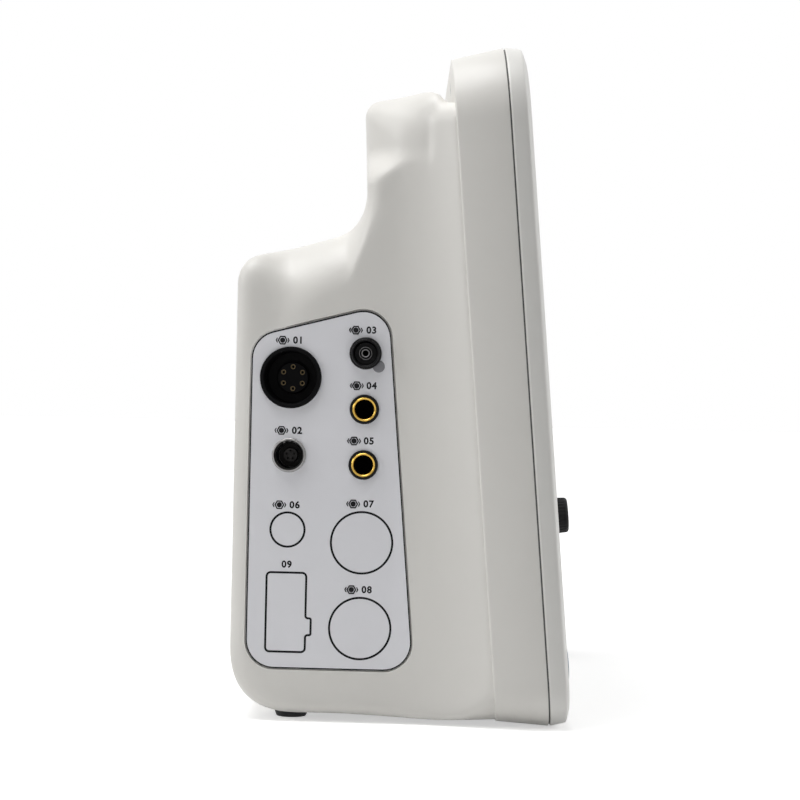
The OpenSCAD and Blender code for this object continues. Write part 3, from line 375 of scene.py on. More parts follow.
def surface(name, field, lo, hi, h):
    """Meshes field = 0 by surface nets, then moves each vertex onto the surface."""
    axes = [np.arange(lo[i], hi[i] + h, h) for i in range(3)]
    values = field(axes[0][:, None, None], axes[1][None, :, None], axes[2][None, None, :])
    values = np.where(values == 0, 1e-6, values)
    inside = values < 0
    shape = np.array(values.shape) - 1
    corners = [(i, j, k) for i in (0, 1) for j in (0, 1) for k in (0, 1)]
    count = sum(inside[i:i + shape[0], j:j + shape[1], k:k + shape[2]].astype(np.int8) for i, j, k in corners)
    mixed = (count > 0) & (count < 8)
    index = np.full(mixed.shape, -1, np.int64)
    index[mixed] = np.arange(int(mixed.sum()))
    cells = np.argwhere(mixed)
    total = np.zeros((len(cells), 3))
    hits = np.zeros(len(cells))
    for start in corners:
        for axis in range(3):
            if start[axis]:
                continue
            end = list(start)
            end[axis] = 1
            fa = values[cells[:, 0] + start[0], cells[:, 1] + start[1], cells[:, 2] + start[2]]
            fb = values[cells[:, 0] + end[0], cells[:, 1] + end[1], cells[:, 2] + end[2]]
            crossed = (fa < 0) != (fb < 0)
            total[crossed] += np.array(start, float)
            total[crossed, axis] += fa[crossed] / (fa[crossed] - fb[crossed])
            hits[crossed] += 1
    points = np.array(lo) + h * (cells + total / hits[:, None])
    quads = []
    for axis in range(3):
        a, b = [i for i in range(3) if i != axis]
        lower, upper = [slice(1, -1)] * 3, [slice(1, -1)] * 3
        lower[axis], upper[axis] = slice(0, -1), slice(1, None)
        starts_in, ends_in = inside[tuple(lower)], inside[tuple(upper)]
        edges = np.argwhere(starts_in != ends_in)
        flip = ends_in[tuple(edges.T)]
        edges[:, a] += 1
        edges[:, b] += 1

        def cell(da, db):
            c = edges.copy()
            c[:, a] -= da
            c[:, b] -= db
            return index[c[:, 0], c[:, 1], c[:, 2]]
        around = np.stack([cell(1, 1), cell(0, 1), cell(0, 0), cell(1, 0)], 1)
        if axis == 1:
            flip = ~flip
        around[flip] = around[flip][:, ::-1]
        quads.append(around)
    probe = 0.05
    for _ in range(3):
        f = field(*points.T)
        g = np.stack([(field(*(points + way).T) - field(*(points - way).T)) / (2 * probe)
                      for way in probe * np.eye(3)], 1)
        move = -f[:, None] * g / np.maximum((g * g).sum(1), 0.25)[:, None]
        points += np.clip(move, -h / 2, h / 2)
    verts = (points + [0, PART_Y, 0]) * MM
    return mesh_object(name, verts, np.concatenate(quads))


# --- outlines ---
def rounded(pts, n=10):
    """A polygon from (x, y, radius) corners."""
    out = []
    for i in range(len(pts)):
        a, b, c = (Vector(pts[j % len(pts)][:2]) for j in (i - 1, i, i + 1))
        r = pts[i][2]
        if r <= 0:
            out.append(b)
            continue
        u, v = (a - b).normalized(), (c - b).normalized()
        half = u.angle(v) / 2
        mid = b + (u + v).normalized() * r / math.sin(half)
        p = b + u * (r / math.tan(half)) - mid
        q = b + v * (r / math.tan(half)) - mid
        start = math.atan2(p.y, p.x)
        sweep = (math.atan2(q.y, q.x) - start + math.pi) % (2 * math.pi) - math.pi
        out += [mid + r * Vector((math.cos(start + sweep * k / n), math.sin(start + sweep * k / n)))
                for k in range(n + 1)]
    return out


def prism(name, pts, z0, z1, matrix):
    """An outline in local x and y, from z0 to z1."""
    return loft(name, [[(p[0], p[1], z) for p in pts] for z in (z0, z1)], matrix)


def box(name, x0, x1, y0, y1, z0, z1, matrix):
    return prism(name, [(x0, y0), (x1, y0), (x1, y1), (x0, y1)], z0, z1, matrix)


def disc(cx, cy, r, n=32):
    turns = [2 * math.pi * i / n for i in range(n)]
    return [(cx + r * math.cos(a), cy + r * math.sin(a)) for a in turns]


def panel_loops(profile):
    """Loops around the front panel from (inset, depth behind the parting line) points."""
    loops = []
    for inset, y in profile:
        x = PANEL_W / 2 - inset
        outline = rounded_rect(-x, x, inset, PANEL_H - inset, CORNER_R - inset, 14, CORNER_LOW_R - inset)
        loops.append([front_point(px, y, pu) for px, pu in outline])
    return loops


def plate_outline(grow):
    """The port plate in depth and height, its top along the shoulder and its front along the panel."""
    rear, front, low = 119.5, 51.8 - grow, 20.9 - grow
    top_rear = SHOULDER_Z + (BODY_DEPTH - 6 - rear) * SHOULDER_TAN - 32.3 + grow
    rear += grow
    top_front = (top_rear + (rear - front) * SHOULDER_TAN) / (1 + SHOULDER_TAN * TIP)
    r = 11 + grow
    return rounded([(front + low * TIP, low, r), (rear, low, r), (rear, top_rear, r),
                    (front + top_front * TIP, top_front, r)])


def side_skin(name, out, inner, outline):
    """A skin of the left side between two depths under its surface, cut to an outline in depth and height."""
    loops = []
    heights = np.linspace(10, 174, 42)
    for d in np.linspace(44, 127.5, 84):
        w = flared_width(np.full(heights.shape, d), heights)[0]
        loops.append([body_point(-a - out, d, z) for a, z in zip(w, heights)] +
                     [body_point(-a + inner, d, z) for a, z in zip(w[::-1], heights[::-1])])
    skin = loft(name, loops)
    cut = loft("outline", [[body_point(x, p[0], p[1]) for p in outline] for x in (-160, -125)])
    return combine(skin, cut, "INTERSECT")


# --- materials ---
def linear(rgb):
    return tuple((c / 255 / 12.92) if c / 255 <= 0.04045 else ((c / 255 + 0.055) / 1.055) ** 2.4 for c in rgb)


def math_node(nt, operation, *values, clamp=False):
    """A math node's output. Each value is a socket or a number."""
    node = nt.nodes.new("ShaderNodeMath")
    node.operation = operation
    node.use_clamp = clamp
    for socket, value in zip(node.inputs, values):
        if isinstance(value, bpy.types.NodeSocket):
            nt.links.new(value, socket)
        else:
            socket.default_value = value
    return node.outputs[0]


def map_range(nt, value, source, target, kind="LINEAR"):
    node = nt.nodes.new("ShaderNodeMapRange")
    node.interpolation_type = kind
    for key, number in zip(("From Min", "From Max", "To Min", "To Max"), (*source, *target)):
        node.inputs[key].default_value = number
    nt.links.new(value, node.inputs["Value"])
    return node.outputs["Result"]


def bump_node(nt, height, depth, normal=None):
    node = nt.nodes.new("ShaderNodeBump")
    node.inputs["Strength"].default_value = 1.0
    node.inputs["Distance"].default_value = depth * MM
    nt.links.new(height, node.inputs["Height"])
    if normal is not None:
        nt.links.new(normal, node.inputs["Normal"])
    return node.outputs["Normal"]


def material(name, rgb, rough=0.5, metal=0.0, grain=0.6, depth=0.02, mottle=0.03, patch=22.0,
             rough_var=0.06, lines=None, **sockets):
    """A shader with mottled colour, uneven gloss and a grain of the given size and depth in millimetres.

    lines gives moulded ribs: the axis across them, their pitch and their depth.
    """
    mat = bpy.data.materials.new(name)
    mat.use_nodes = True
    nt = mat.node_tree
    bsdf = nt.nodes["Principled BSDF"]
    coord = nt.nodes.new("ShaderNodeTexCoord").outputs["Object"]
    spread = (0.3, 0.7)

    def noise(size, detail, roughness=0.55):
        node = nt.nodes.new("ShaderNodeTexNoise")
        for key, value in (("Scale", 1000.0 / size), ("Detail", detail), ("Roughness", roughness)):
            node.inputs[key].default_value = value
        nt.links.new(coord, node.inputs["Vector"])
        return node.outputs["Fac"]

    base = Vector(linear(rgb))
    ramp = nt.nodes.new("ShaderNodeValToRGB")
    for stop, place, share in zip(ramp.color_ramp.elements, spread, (1 - mottle, 1 + mottle)):
        stop.position = place
        stop.color = (*[min(c * share, 1) for c in base], 1)
    nt.links.new(noise(patch, 4), ramp.inputs["Fac"])
    nt.links.new(ramp.outputs["Color"], bsdf.inputs["Base Color"])
    gloss = (max(rough - rough_var, 0.02), min(rough + rough_var, 1))
    nt.links.new(map_range(nt, noise(patch * 0.4, 3), spread, gloss), bsdf.inputs["Roughness"])
    normal = bump_node(nt, noise(grain, 2, 0.6), depth)
    if lines:
        axis, pitch, line_depth = lines
        wave = nt.nodes.new("ShaderNodeTexWave")
        wave.bands_direction = axis
        wave.inputs["Scale"].default_value = 2 * math.pi / 20 * 1000 / pitch
        nt.links.new(coord, wave.inputs["Vector"])
        normal = bump_node(nt, wave.outputs["Fac"], line_depth, normal)
    nt.links.new(normal, bsdf.inputs["Normal"])
    bsdf.inputs["Metallic"].default_value = metal
    for key, value in sockets.items():
        bsdf.inputs[key.replace("_", " ")].default_value = value
    return mat


M = {
    "housing": material("housing_plastic", (228, 226, 221), 0.42, grain=0.9, depth=0.012, mottle=0.012,
                        patch=45),
    "bezel": material("bezel_plastic", (229, 228, 224), 0.40, grain=0.9, depth=0.012, mottle=0.012, patch=45),
    "plate": material("plate_print", (236, 236, 240), 0.38, grain=0.5, depth=0.006, mottle=0.01, patch=30),
    # Print, and painted shade for the gap around the port plate and the grooves of its knock-out outlines.
    "ink_and_painted_shade": material("dark_ink_and_painted_shade", (18, 18, 21), 0.55, grain=0.4, depth=0.004, mottle=0.08, patch=4,
                    Specular_IOR_Level=0.15),
    "seal": material("seal_rubber", (96, 96, 96), 0.7, grain=0.5, depth=0.02, mottle=0.1, patch=6),
    "glass": material("screen_glass", (4, 4, 5), 0.06, grain=4, depth=0.001, mottle=0.2, patch=60,
                      rough_var=0.015, Coat_Weight=0.15, Coat_Roughness=0.03),
    "black_gloss": material("black_gloss", (8, 8, 9), 0.32, grain=0.8, depth=0.004, mottle=0.12, patch=6,
                            Specular_IOR_Level=0.14),
    # Black of the ECG cup, and painted shade for the sleeves and fill that darken the metal bores and the
    # nozzle gap.
    "cup_black_and_painted_shade": material("cup_black_and_painted_shade", (6, 6, 7), 0.5, grain=0.5, depth=0.006, mottle=0.1, patch=5,
                          Specular_IOR_Level=0.06),
    "black_matte": material("black_matte", (24, 24, 26), 0.55, grain=0.5, depth=0.02, mottle=0.12, patch=6),
    "knob": material("knob_soft_touch", (15, 15, 16), 0.62, grain=0.4, depth=0.03, mottle=0.1, patch=5,
                     Specular_IOR_Level=0.25, Sheen_Weight=0.05, Sheen_Roughness=0.4),
    "key": material("key_rubber", (152, 163, 176), 0.55, grain=0.35, depth=0.012, mottle=0.03, patch=6),
    "key_ink": material("key_print", (38, 48, 66), 0.6, grain=0.4, depth=0.004, mottle=0.06, patch=4),
    "nickel": material("nickel", (150, 149, 148), 0.34, metal=1.0, grain=0.5, depth=0.006, mottle=0.05,
                       patch=5),
    "gold": material("gold_plate", (192, 158, 78), 0.2, metal=1.0, grain=0.5, depth=0.006, mottle=0.06,
                     patch=4),
    "brass": material("brass", (200, 166, 96), 0.3, metal=1.0, grain=0.5, depth=0.01, mottle=0.08, patch=5),
    "steel": material("zinc_sheet", (176, 178, 180), 0.36, metal=1.0, grain=0.35, depth=0.01, mottle=0.08,
                      patch=9),
    "cast": material("satin_aluminium", (166, 168, 170), 0.42, metal=1.0, grain=0.5, depth=0.02, mottle=0.06,
                     patch=12),
    "board": material("solder_mask", (24, 96, 54), 0.32, grain=1.2, depth=0.02, mottle=0.22, patch=3),
    "grey_insert": material("grey_insert", (52, 50, 49), 0.5, grain=0.4, depth=0.01, mottle=0.08, patch=3,
                            Specular_IOR_Level=0.15),
    "grey_button": material("grey_button", (132, 132, 136), 0.5, grain=0.4, depth=0.01, mottle=0.05, patch=3),
    "ivory": material("ivory_moulding", (214, 208, 186), 0.5, grain=0.6, depth=0.01, mottle=0.04, patch=10),
    "silicone": material("silicone_tube", (216, 211, 194), 0.45, grain=0.8, depth=0.01, mottle=0.05, patch=12,
                         Transmission_Weight=0.25),
    "lamp": material("frosted_lens", (232, 226, 214), 0.35, grain=0.5, depth=0.01, mottle=0.03, patch=6,
                     lines=("X", 2.356, 0.12), Transmission_Weight=0.35),
    "lens": material("clear_lens", (196, 214, 196), 0.2, grain=0.5, depth=0.004, mottle=0.05, patch=3,
                     Transmission_Weight=0.5),
    "fuse": material("fuse_glass", (228, 236, 234), 0.08, grain=2, depth=0.002, mottle=0.02, patch=6,
                     Transmission_Weight=0.8),
    "battery": material("battery_wrap", (66, 80, 98), 0.42, grain=1.5, depth=0.03, mottle=0.08, patch=14),
    "cone": material("speaker_paper", (30, 30, 31), 0.85, grain=0.3, depth=0.05, mottle=0.2, patch=3),
    "rubber": material("foot_rubber", (28, 28, 30), 0.75, grain=0.35, depth=0.04, mottle=0.15, patch=4),
    "contact": material("contact_gold", (104, 92, 70), 0.45, metal=1.0, grain=0.4, depth=0.004, mottle=0.06,
                        patch=2),
}


def screen_area(mat):
    """A slightly lighter active area inside the glass's black border."""
    nt = mat.node_tree
    split = nt.nodes.new("ShaderNodeSeparateXYZ")
    nt.links.new(nt.nodes.new("ShaderNodeTexCoord").outputs["Object"], split.inputs[0])
    centre = front_point(SCREEN_X0 + SCREEN_W / 2, 0, SCREEN_U0 + SCREEN_H / 2)
    border = 4.5
    masks = []
    for axis, middle, half in (("X", centre.x, SCREEN_W / 2 - border),
                               ("Z", centre.z, (SCREEN_H / 2 - border) * COS)):
        off = math_node(nt, "ABSOLUTE", math_node(nt, "SUBTRACT", split.outputs[axis], middle))
        masks.append(math_node(nt, "LESS_THAN", off, half * MM))
    bsdf = nt.nodes["Principled BSDF"]
    old = bsdf.inputs["Base Color"].links[0].from_socket
    blend = nt.nodes.new("ShaderNodeMix")
    blend.data_type = "RGBA"
    nt.links.new(math_node(nt, "MULTIPLY", *masks), blend.inputs["Factor"])
    nt.links.new(old, blend.inputs[6])
    blend.inputs[7].default_value = (0.014, 0.016, 0.02, 1)
    nt.links.new(blend.outputs[2], bsdf.inputs["Base Color"])


screen_area(M["glass"])
FINISH = {
    "housing": ["battery_bay"], "seal": ["front_seal"], "glass": ["display_glass"],
    "steel": ["lcd_module", "chassis_plate", "hinge_pin", "housing_screws", "encoder_shaft"],
    "board": ["main_board", "key_board", "power_board", "parameter_board", "power_supply"],
    "brass": ["board_standoffs", "mount_inserts"], "black_matte": ["encoder_body", "cuff_valve"],
    "ivory": ["encoder_plunger"], "cast": ["cuff_pump"], "silicone": ["air_tube"], "fuse": ["fuses"],
    "battery": ["battery_pack"], "cone": ["speaker"], "rubber": ["feet_front"],
}


def paint(ob, key):
    ob.data.materials.clear()
    ob.data.materials.append(M[key])


def piece(ob, key, body, slot, *nodes):
    paint(ob, key)
    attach(ob, body)
    if nodes:
        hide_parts(*nodes)


for key, nodes in FINISH.items():
    for n in nodes:
        paint(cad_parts[n], key)

# --- rear housing ---
cell_size = 1.5
housing = surface("housing_shell", outer_field, (-159.0, 14.0, -1.0), (159.0, 129.0, 254.0), cell_size)
hollow = surface("hollow", inner_field, (-157.0, 4.0, 0.0), (157.0, 127.0, 252.0), 2 * cell_size)
flange = loft("flange", panel_loops(
    [(5.8, 17.5), (3.2, 0.3), (0.3, 0.3), (0.08, 0.38), (0.02, 0.6), (3.1, 20.1), (3.18, 20.55), (3.4, 20.85),
     (3.75, 21.0)]))
combine(housing, flange, "UNION")
combine(housing, hollow)
combine(housing, side_skin("recess", 8, 1.6, plate_outline(0.5)))
cuts = [cylinder("cut", r, -9, 3, port_frame(d, z)) for d, z, r in PORT_HOLES]
for x in VENTS_X:
    cuts.append(prism("cut", rounded_rect(-1.5, 1.5, -6.5, 6.5, 1.45, 6), -5, 2, rear_frame(x, VENT_Z)))
grille = side_frame(1, SPEAKER_D, SPEAKER_Z)
for ring in range(4):
    for k in range(max(1, 6 * ring)):
        m = grille @ Matrix.Translation((*polar(GRILLE_STEP * ring, k * 60 / max(1, ring)), 0))
        cuts.append(cylinder("cut", 1.1, -5, 2, m, 20))
cuts.append(prism("cut", rounded_rect(-36.4, 36.4, 33.2, 114.4, 1.0, 4), -5, 2, rear_frame(DOOR_X, 0)))
inlet = rear_frame(INLET_X, INLET_Z)
cuts.append(prism("cut", rounded_rect(-16.1, 16.1, -25.6, 25.6, 2.2, 6), -1.5, 2, inlet))
cuts.append(cylinder("cut", 7.5, -5, 2, rear_frame(STUD_X, STUD_Z)))
cuts.append(box("cut", -8, 8, -7, 7, -5, 2, rear_frame(NETWORK_X, NETWORK_Z)))
for x in MOUNTS_X:
    for z in MOUNTS_Z:
        cuts.append(lathe("cut", [(3.6, -5), (3.6, -0.5), (4.4, 0.3), (4.4, 2)], rear_frame(x, z), 40))
for x in REAR_SCREWS_X:
    cuts.append(lathe("cut", [(2.1, -5), (2.1, -1.6), (3.3, -1.6), (3.3, -0.3), (3.9, 0.4), (3.9, 2)],
                      rear_frame(x, VENT_Z), 40))
for x in TOP_SCREWS_X:
    cuts.append(lathe("cut", [(2.1, -16), (2.1, -19.4), (3.3, -19.4), (3.3, -20.7), (3.8, -21.3), (3.8, -23)],
                      front_frame(x, TOP_SCREW_U), 40))
feet_frames = [frame_matrix(body_point(x, FOOT_D, 0), (0, 0, 1), (0, 1, 0)) for x in FEET_X]
cuts += [cylinder("cut", 7.0, -1, 4.1, m) for m in feet_frames]
combine(housing, join("cuts", cuts))
combine(housing, prism("cut", rounded_rect(-14, 14, -23.5, 23.5, 0.5, 3), -5, 0, inlet))
piece(housing, "housing", "monitor", "housing", "rear_housing")

# --- port plate ---
plate = side_skin("port_plate_skin", 0, 1.6, plate_outline(0))
combine(plate, join("cuts", [cylinder("cut", r, -4, 3, port_frame(d, z)) for d, z, r in PORT_HOLES]))


def closed_line(name, pts, width, z0, z1, matrix):
    """A closed line of a given width, inside an outline, for print and for painted groove shade."""
    inner = []
    n = len(pts)
    for i in range(n):
        a, b, c = (Vector(pts[j % n][:2]) for j in (i - 1, i, i + 1))
        u, v = (b - a).normalized(), (c - b).normalized()
        t = (u + v).normalized()
        side = Vector((-t.y, t.x))
        inner.append(b + side * width / max(side.dot(Vector((-u.y, u.x))), 0.4))
    loops = [[(p[0], p[1], z) for p in ring] for ring, z in ((pts, z0), (pts, z1), (inner, z1), (inner, z0))]
    return loft(name, loops, matrix, ring=True)


SLOT = rounded([(-8.2, -15.9, 2), (8.2, -15.9, 2), (8.2, -9.2, 0.6), (10.3, -9.2, 1.0), (10.3, -1.8, 1.0),
                (8.2, -1.8, 0.6), (8.2, 15.9, 2), (-8.2, 15.9, 2)], 6)
MARKS = [(disc(0, 0, 7.1, 72), port_frame(REAR_COLUMN, CO2_Z)), (SLOT, port_frame(REAR_COLUMN, SLOT_Z))]
MARKS += [(disc(0, 0, 12.4, 96), port_frame(FRONT_COLUMN, z)) for z in IBP_Z]
# A dark line along the plate's edge: partly print, partly painted shade of the gap around the plate.
border = side_skin("plate_border_print_and_shade", 0.03, 0.2, plate_outline(-0.02))
combine(border, side_skin("cut", 1, 1, plate_outline(-0.5)))
# Dark lines along the knock-out outlines: painted shade of fine moulded grooves.
marks = side_skin("groove_painted_shade", 0.03, 0.2, plate_outline(-2))
combine(marks, join("cuts", [closed_line("cut", pts, 0.82, -2.0, 3.0, m) for pts, m in MARKS]), "INTERSECT")
piece(plate, "plate", "monitor", "plate", "port_plate")
# The plate's border and knock-out lines in one mesh: print and painted shade.
piece(join("plate_print_and_shade_lines", [border, marks]), "ink_and_painted_shade", "monitor", "plate")


def digits(name, text, size, cx, cy, matrix):
    """Printed numerals, centred at a place."""
    curve = bpy.data.curves.new(name, "FONT")
    curve.body = text
    curve.size = size * 1.42
    curve.align_x = "CENTER"
    curve.align_y = "CENTER"
    curve.space_character = 1.15
    curve.offset = 0.05 * size
    curve.extrude = (INK_HIGH - INK_LOW) / 2
    curve.resolution_u = 4
    tmp = bpy.data.objects.new(name, curve)
    bpy.context.scene.collection.objects.link(tmp)
    dg = bpy.context.evaluated_depsgraph_get()
    dg.update()
    me = bpy.data.meshes.new_from_object(tmp.evaluated_get(dg))
    bpy.data.objects.remove(tmp)
    bpy.data.curves.remove(curve)
    me.transform(matrix @ Matrix.Translation((cx, cy, (INK_LOW + INK_HIGH) / 2)))
    me.materials.clear()
    ob = bpy.data.objects.new(name, me)
    bpy.context.scene.collection.objects.link(ob)
    return ob


def badge(cx, cy, m):
    """A hexagon around a dot, with a wing on each side."""
    hexagon = [polar(1.95, a, (cx, cy)) for a in range(0, 360, 60)]
    out = [closed_line("badge", hexagon, 0.48, INK_LOW, INK_HIGH, m),
           prism("badge", disc(cx, cy, 1.02, 24), INK_LOW, INK_HIGH, m)]
    wing = ((2.75, 0), (2.25, 0.95), (1.85, 0.95), (2.25, 0), (1.85, -0.95), (2.25, -0.95))
    for s in (-1, 1):
        out.append(prism("badge", [(cx + s * x, cy + y) for x, y in wing][::s], INK_LOW, INK_HIGH, m))
    return out


labels = []
for text, d, z, rise, bx, tx in (
        ("01", REAR_COLUMN, ECG_Z, 14.5, -3.5, 2.6), ("02", REAR_COLUMN, OXI_Z, 9.6, -3.2, 2.9),
        ("03", FRONT_COLUMN, CUFF_Z, 9.0, -4.0, 2.1), ("04", FRONT_COLUMN, JACK_Z[0], 9.2, -3.2, 2.6),
        ("05", FRONT_COLUMN, JACK_Z[1], 9.3, -3.8, 2.0), ("06", REAR_COLUMN, CO2_Z, 9.6, -3.4, 2.6),
        ("07", FRONT_COLUMN, IBP_Z[0], 15.1, -3.6, 2.4), ("08", FRONT_COLUMN, IBP_Z[1], 15.1, -3.6, 2.4),
        ("09", REAR_COLUMN, SLOT_Z, 18.6, None, 0.0)):
    m = port_frame(d, z)
    if bx is not None:
        labels += badge(bx, rise, m)
    labels.append(digits("number", text, 2.6, tx, rise, m))
piece(join("port_labels", labels), "ink_and_painted_shade", "monitor", "plate")

# --- ports ---
m = port_frame(REAR_COLUMN, ECG_Z)
cup = lathe("ecg_cup", [(0.3, -8.2), (5.9, -8.2), (6.3, -8.5), (6.45, -11), (6.9, -11),
                        (9.9, -11), (10.2, -10.7), (10.2, 0.6), (10.35, 1.15), (10.7, 1.5), (11.3, 1.6),
                        (11.75, 1.45), (12.0, 1.1), (12.1, 0.5), (12.1, 0.0), (11.1, -0.02), (11.1, -13.9),
                        (0.3, -14)], m, 96)
ECG_PINS = [polar(4.3, 60 * k + 30) for k in range(6)]
combine(cup, join("cuts", [prism("cut", disc(u, v, 1.03, 24), -11.5, -7, m) for u, v in ECG_PINS]))
piece(cup, "cup_black_and_painted_shade", "monitor", "black_plastic", "ecg_socket")
pins = [lathe("pin", [(0.6, -11.2), (0.98, -11.2), (0.98, -8.6), (0.9, -8.5), (0.68, -8.5), (0.6, -8.6)],
              m @ Matrix.Translation((u, v, 0)), 24, ring=True) for u, v in ECG_PINS]
piece(join("ecg_pins", pins), "contact", "monitor", "brass", "ecg_contacts")

m = port_frame(REAR_COLUMN, OXI_Z)
shell = lathe("oxi_shell", [(5.2, -9), (5.2, -0.6), (5.7, 1.2), (5.8, 1.7), (5.95, 1.9), (6.15, 1.82),
                            (6.35, 1.5), (6.42, 1.1), (6.55, 1.0), (6.7, 0.8), (6.7, 0.02), (6.2, 0.0),
                            (6.2, -14), (4.9, -14), (4.9, -9)], m, 96, ring=True)
keyways = [box("cut", -0.5, 0.5, 4.9, 5.85, -3, 3, m @ Matrix.Rotation(math.radians(a), 4, "Z"))
           for a in (-24, 0, 24)]
combine(shell, join("cuts", keyways))
piece(shell, "nickel", "monitor", "port_metal", "oxi_socket")
# A thin black sleeve inside the metal bore: painted shade that darkens the bore.
shade_sleeve = lathe("oxi_bore_painted_shade", [(4.9, -8.6), (4.9, -1.0), (5.19, -0.7), (5.19, -8.6)], m, 64, ring=True)
piece(shade_sleeve, "cup_black_and_painted_shade", "monitor", "black_plastic")
insert = lathe("oxi_core", [(0.3, -5.6), (2.6, -5.6), (2.9, -5.9), (3.0, -8.7), (4.8, -8.9), (4.85, -9.1),
                            (4.85, -13.5), (0.3, -13.5)], m, 64)
combine(insert, join("cuts", [prism("cut", disc(*polar(1.6, 72 * k + 90), 0.42, 16), -8, -5, m)
                              for k in range(5)]))
piece(insert, "grey_insert", "monitor", "black_plastic", "oxi_insert")

m = port_frame(FRONT_COLUMN, CUFF_Z)
ring = lathe("cuff_ring", [(2.62, -7), (4.3, -7), (4.6, -6.7), (4.6, 3.0), (4.75, 3.4), (5.0, 3.6),
                           (5.35, 3.5), (5.5, 3.2), (5.5, 2.5), (5.65, 2.3), (6.0, 2.2), (6.2, 2.0),
                           (6.3, 1.6), (6.3, 0.0), (5.4, -0.02), (5.4, -10), (2.62, -10)], m, 96, ring=True)
piece(ring, "black_gloss", "monitor", "black_plastic", "cuff_socket")
nozzle = lathe("cuff_tip", [(1.2, -16), (1.2, 1.7), (1.26, 1.9), (1.38, 2.0), (1.5, 1.95), (1.57, 1.75),
                            (1.6, -1.6), (2.28, -1.6), (2.3, 1.3), (2.36, 1.5), (2.44, 1.5), (2.52, 1.35),
                            (2.56, 0.9), (2.56, 0.2), (2.4, -0.1), (2.4, -0.9), (2.6, -1.2), (2.6, -16)],
               m, 72, ring=True)
# A black fill in the gap between the nozzle's rings: painted shade for the dark gap.
gap_shade = lathe("cuff_gap_painted_shade", [(1.61, -1.5), (1.61, 0.9), (2.29, 0.9), (2.29, -1.5)], m, 64, ring=True)
piece(gap_shade, "cup_black_and_painted_shade", "monitor", "black_plastic")
piece(nozzle, "nickel", "monitor", "port_metal", "cuff_nozzle")
button = lathe("cuff_release", [(0.2, 0.55), (1.7, 0.55), (2.15, 0.45), (2.4, 0.15), (2.4, -0.3),
                                (0.2, -0.3)],
               m @ Matrix.Translation((5.2, -5.0, 0)), 40)
piece(button, "grey_button", "monitor", "plate")

for i, z in enumerate(JACK_Z):
    m = port_frame(FRONT_COLUMN, z)
    nut = lathe("jack_ring_%d" % (i + 1), [(4.77, 0.02), (4.77, 0.85), (4.9, 1.0), (5.4, 1.0), (5.65, 0.85),
                                           (5.78, 0.5), (5.8, 0.02)], m, 80, ring=True)
    piece(nut, "black_gloss", "monitor", "black_plastic", "temp_nut_%d" % (i + 1))
    jack = lathe("jack_barrel_%d" % (i + 1), [
        (3.6, -28), (3.6, -0.5), (3.45, -0.3), (3.45, 0.2), (3.62, 0.75), (3.9, 1.2), (4.2, 1.45),
        (4.45, 1.5), (4.62, 1.35), (4.72, 1.0), (4.72, -0.05), (4.8, -0.1), (4.8, -27.6), (4.5, -28)],
        m, 80, ring=True)
    piece(jack, "gold", "monitor", "gold", "temp_jack_%d" % (i + 1))
    # A black sleeve and floor inside the gold barrel: painted shade that darkens the bore.
    shade_sleeve = lathe("jack_bore_painted_shade_%d" % (i + 1), [(0.3, -26.8), (3.25, -26.8), (3.25, -0.4), (3.58, -0.55),
                                              (3.58, -27.6), (0.3, -27.6)], m, 64)
    piece(shade_sleeve, "cup_black_and_painted_shade", "monitor", "gold")

# --- front bezel ---
bezel = loft("bezel_shell", panel_loops(
    [(4.5, -5.9), (4.5, -0.3), (0.4, -0.3), (0.12, -0.38), (0.0, -0.65), (0.02, -1.2), (0.72, -5.9),
     (0.85, -6.35), (1.15, -6.75), (1.6, -7.0), (2.4, -7.28), (4.2, -7.82), (5.6, -8.2), (6.6, -8.4),
     (7.6, -8.48), (8.6, -8.5)]))


def window_loop(grow, out):
    """The screen's window at a height over the parting plane, grown on all sides."""
    m = front_frame(SCREEN_X0 + SCREEN_W / 2, SCREEN_U0 + SCREEN_H / 2)
    x, y = SCREEN_W / 2 + grow, SCREEN_H / 2 + grow
    return [m @ Vector((px, py, out)) for px, py in rounded_rect(-x, x, -y, y, 3 + grow, 10)]


def key_loop(u, grow, out):
    m = front_frame(CONTROL_X, u)
    x, y = 12.3 + grow, 6.3 + grow
    return [m @ Vector((px, py, out)) for px, py in rounded_rect(-x, x, -y, y, 3.8 + grow, 8)]


window_edge = ((0, 4), (0, 7.0), (0.15, 7.5), (0.5, 8.0), (1.1, 8.35), (1.8, 8.52), (1.9, 10))
combine(bezel, loft("cut", [window_loop(*at) for at in window_edge]))
key_edge = ((0, 4), (0, 8.0), (0.12, 8.3), (0.4, 8.55), (0.4, 10))
panel_cuts = [loft("cut", [key_loop(u, *at) for at in key_edge]) for u in KEYS_U]
KNOB = front_frame(CONTROL_X, KNOB_U)
POWER = front_frame(POWER_X, POWER_U)
LAMP = front_frame(CONTROL_X, LAMP_U)
panel_cuts.append(lathe("cut", [(4.7, 4), (4.7, 8.1), (5.0, 8.6), (5.0, 10)], KNOB, 48))
panel_cuts.append(lathe("cut", [(6.8, 4), (6.8, 8.0), (6.92, 8.3), (7.2, 8.55), (7.2, 10)], POWER, 64))
for x in LIGHTS_X:
    panel_cuts.append(lathe("cut", [(1.65, 4), (1.65, 8.3), (1.85, 8.6), (1.85, 10)],
                            front_frame(x, POWER_U), 24))
panel_cuts.append(prism("cut", rounded_rect(-15.2, 15.2, -3.7, 3.7, 2.0, 6), 4, 10, LAMP))
combine(bezel, join("cuts", panel_cuts))
bosses = [lathe("boss", [(1.7, 5.4), (4.2, 5.4), (4.2, -17.8), (1.7, -17.8)],
                front_frame(x, TOP_SCREW_U), 40, ring=True) for x in TOP_SCREWS_X]
bezel = join("bezel_shell", [bezel] + bosses)
shade(bezel)
piece(bezel, "bezel", "monitor", "bezel", "front_bezel")

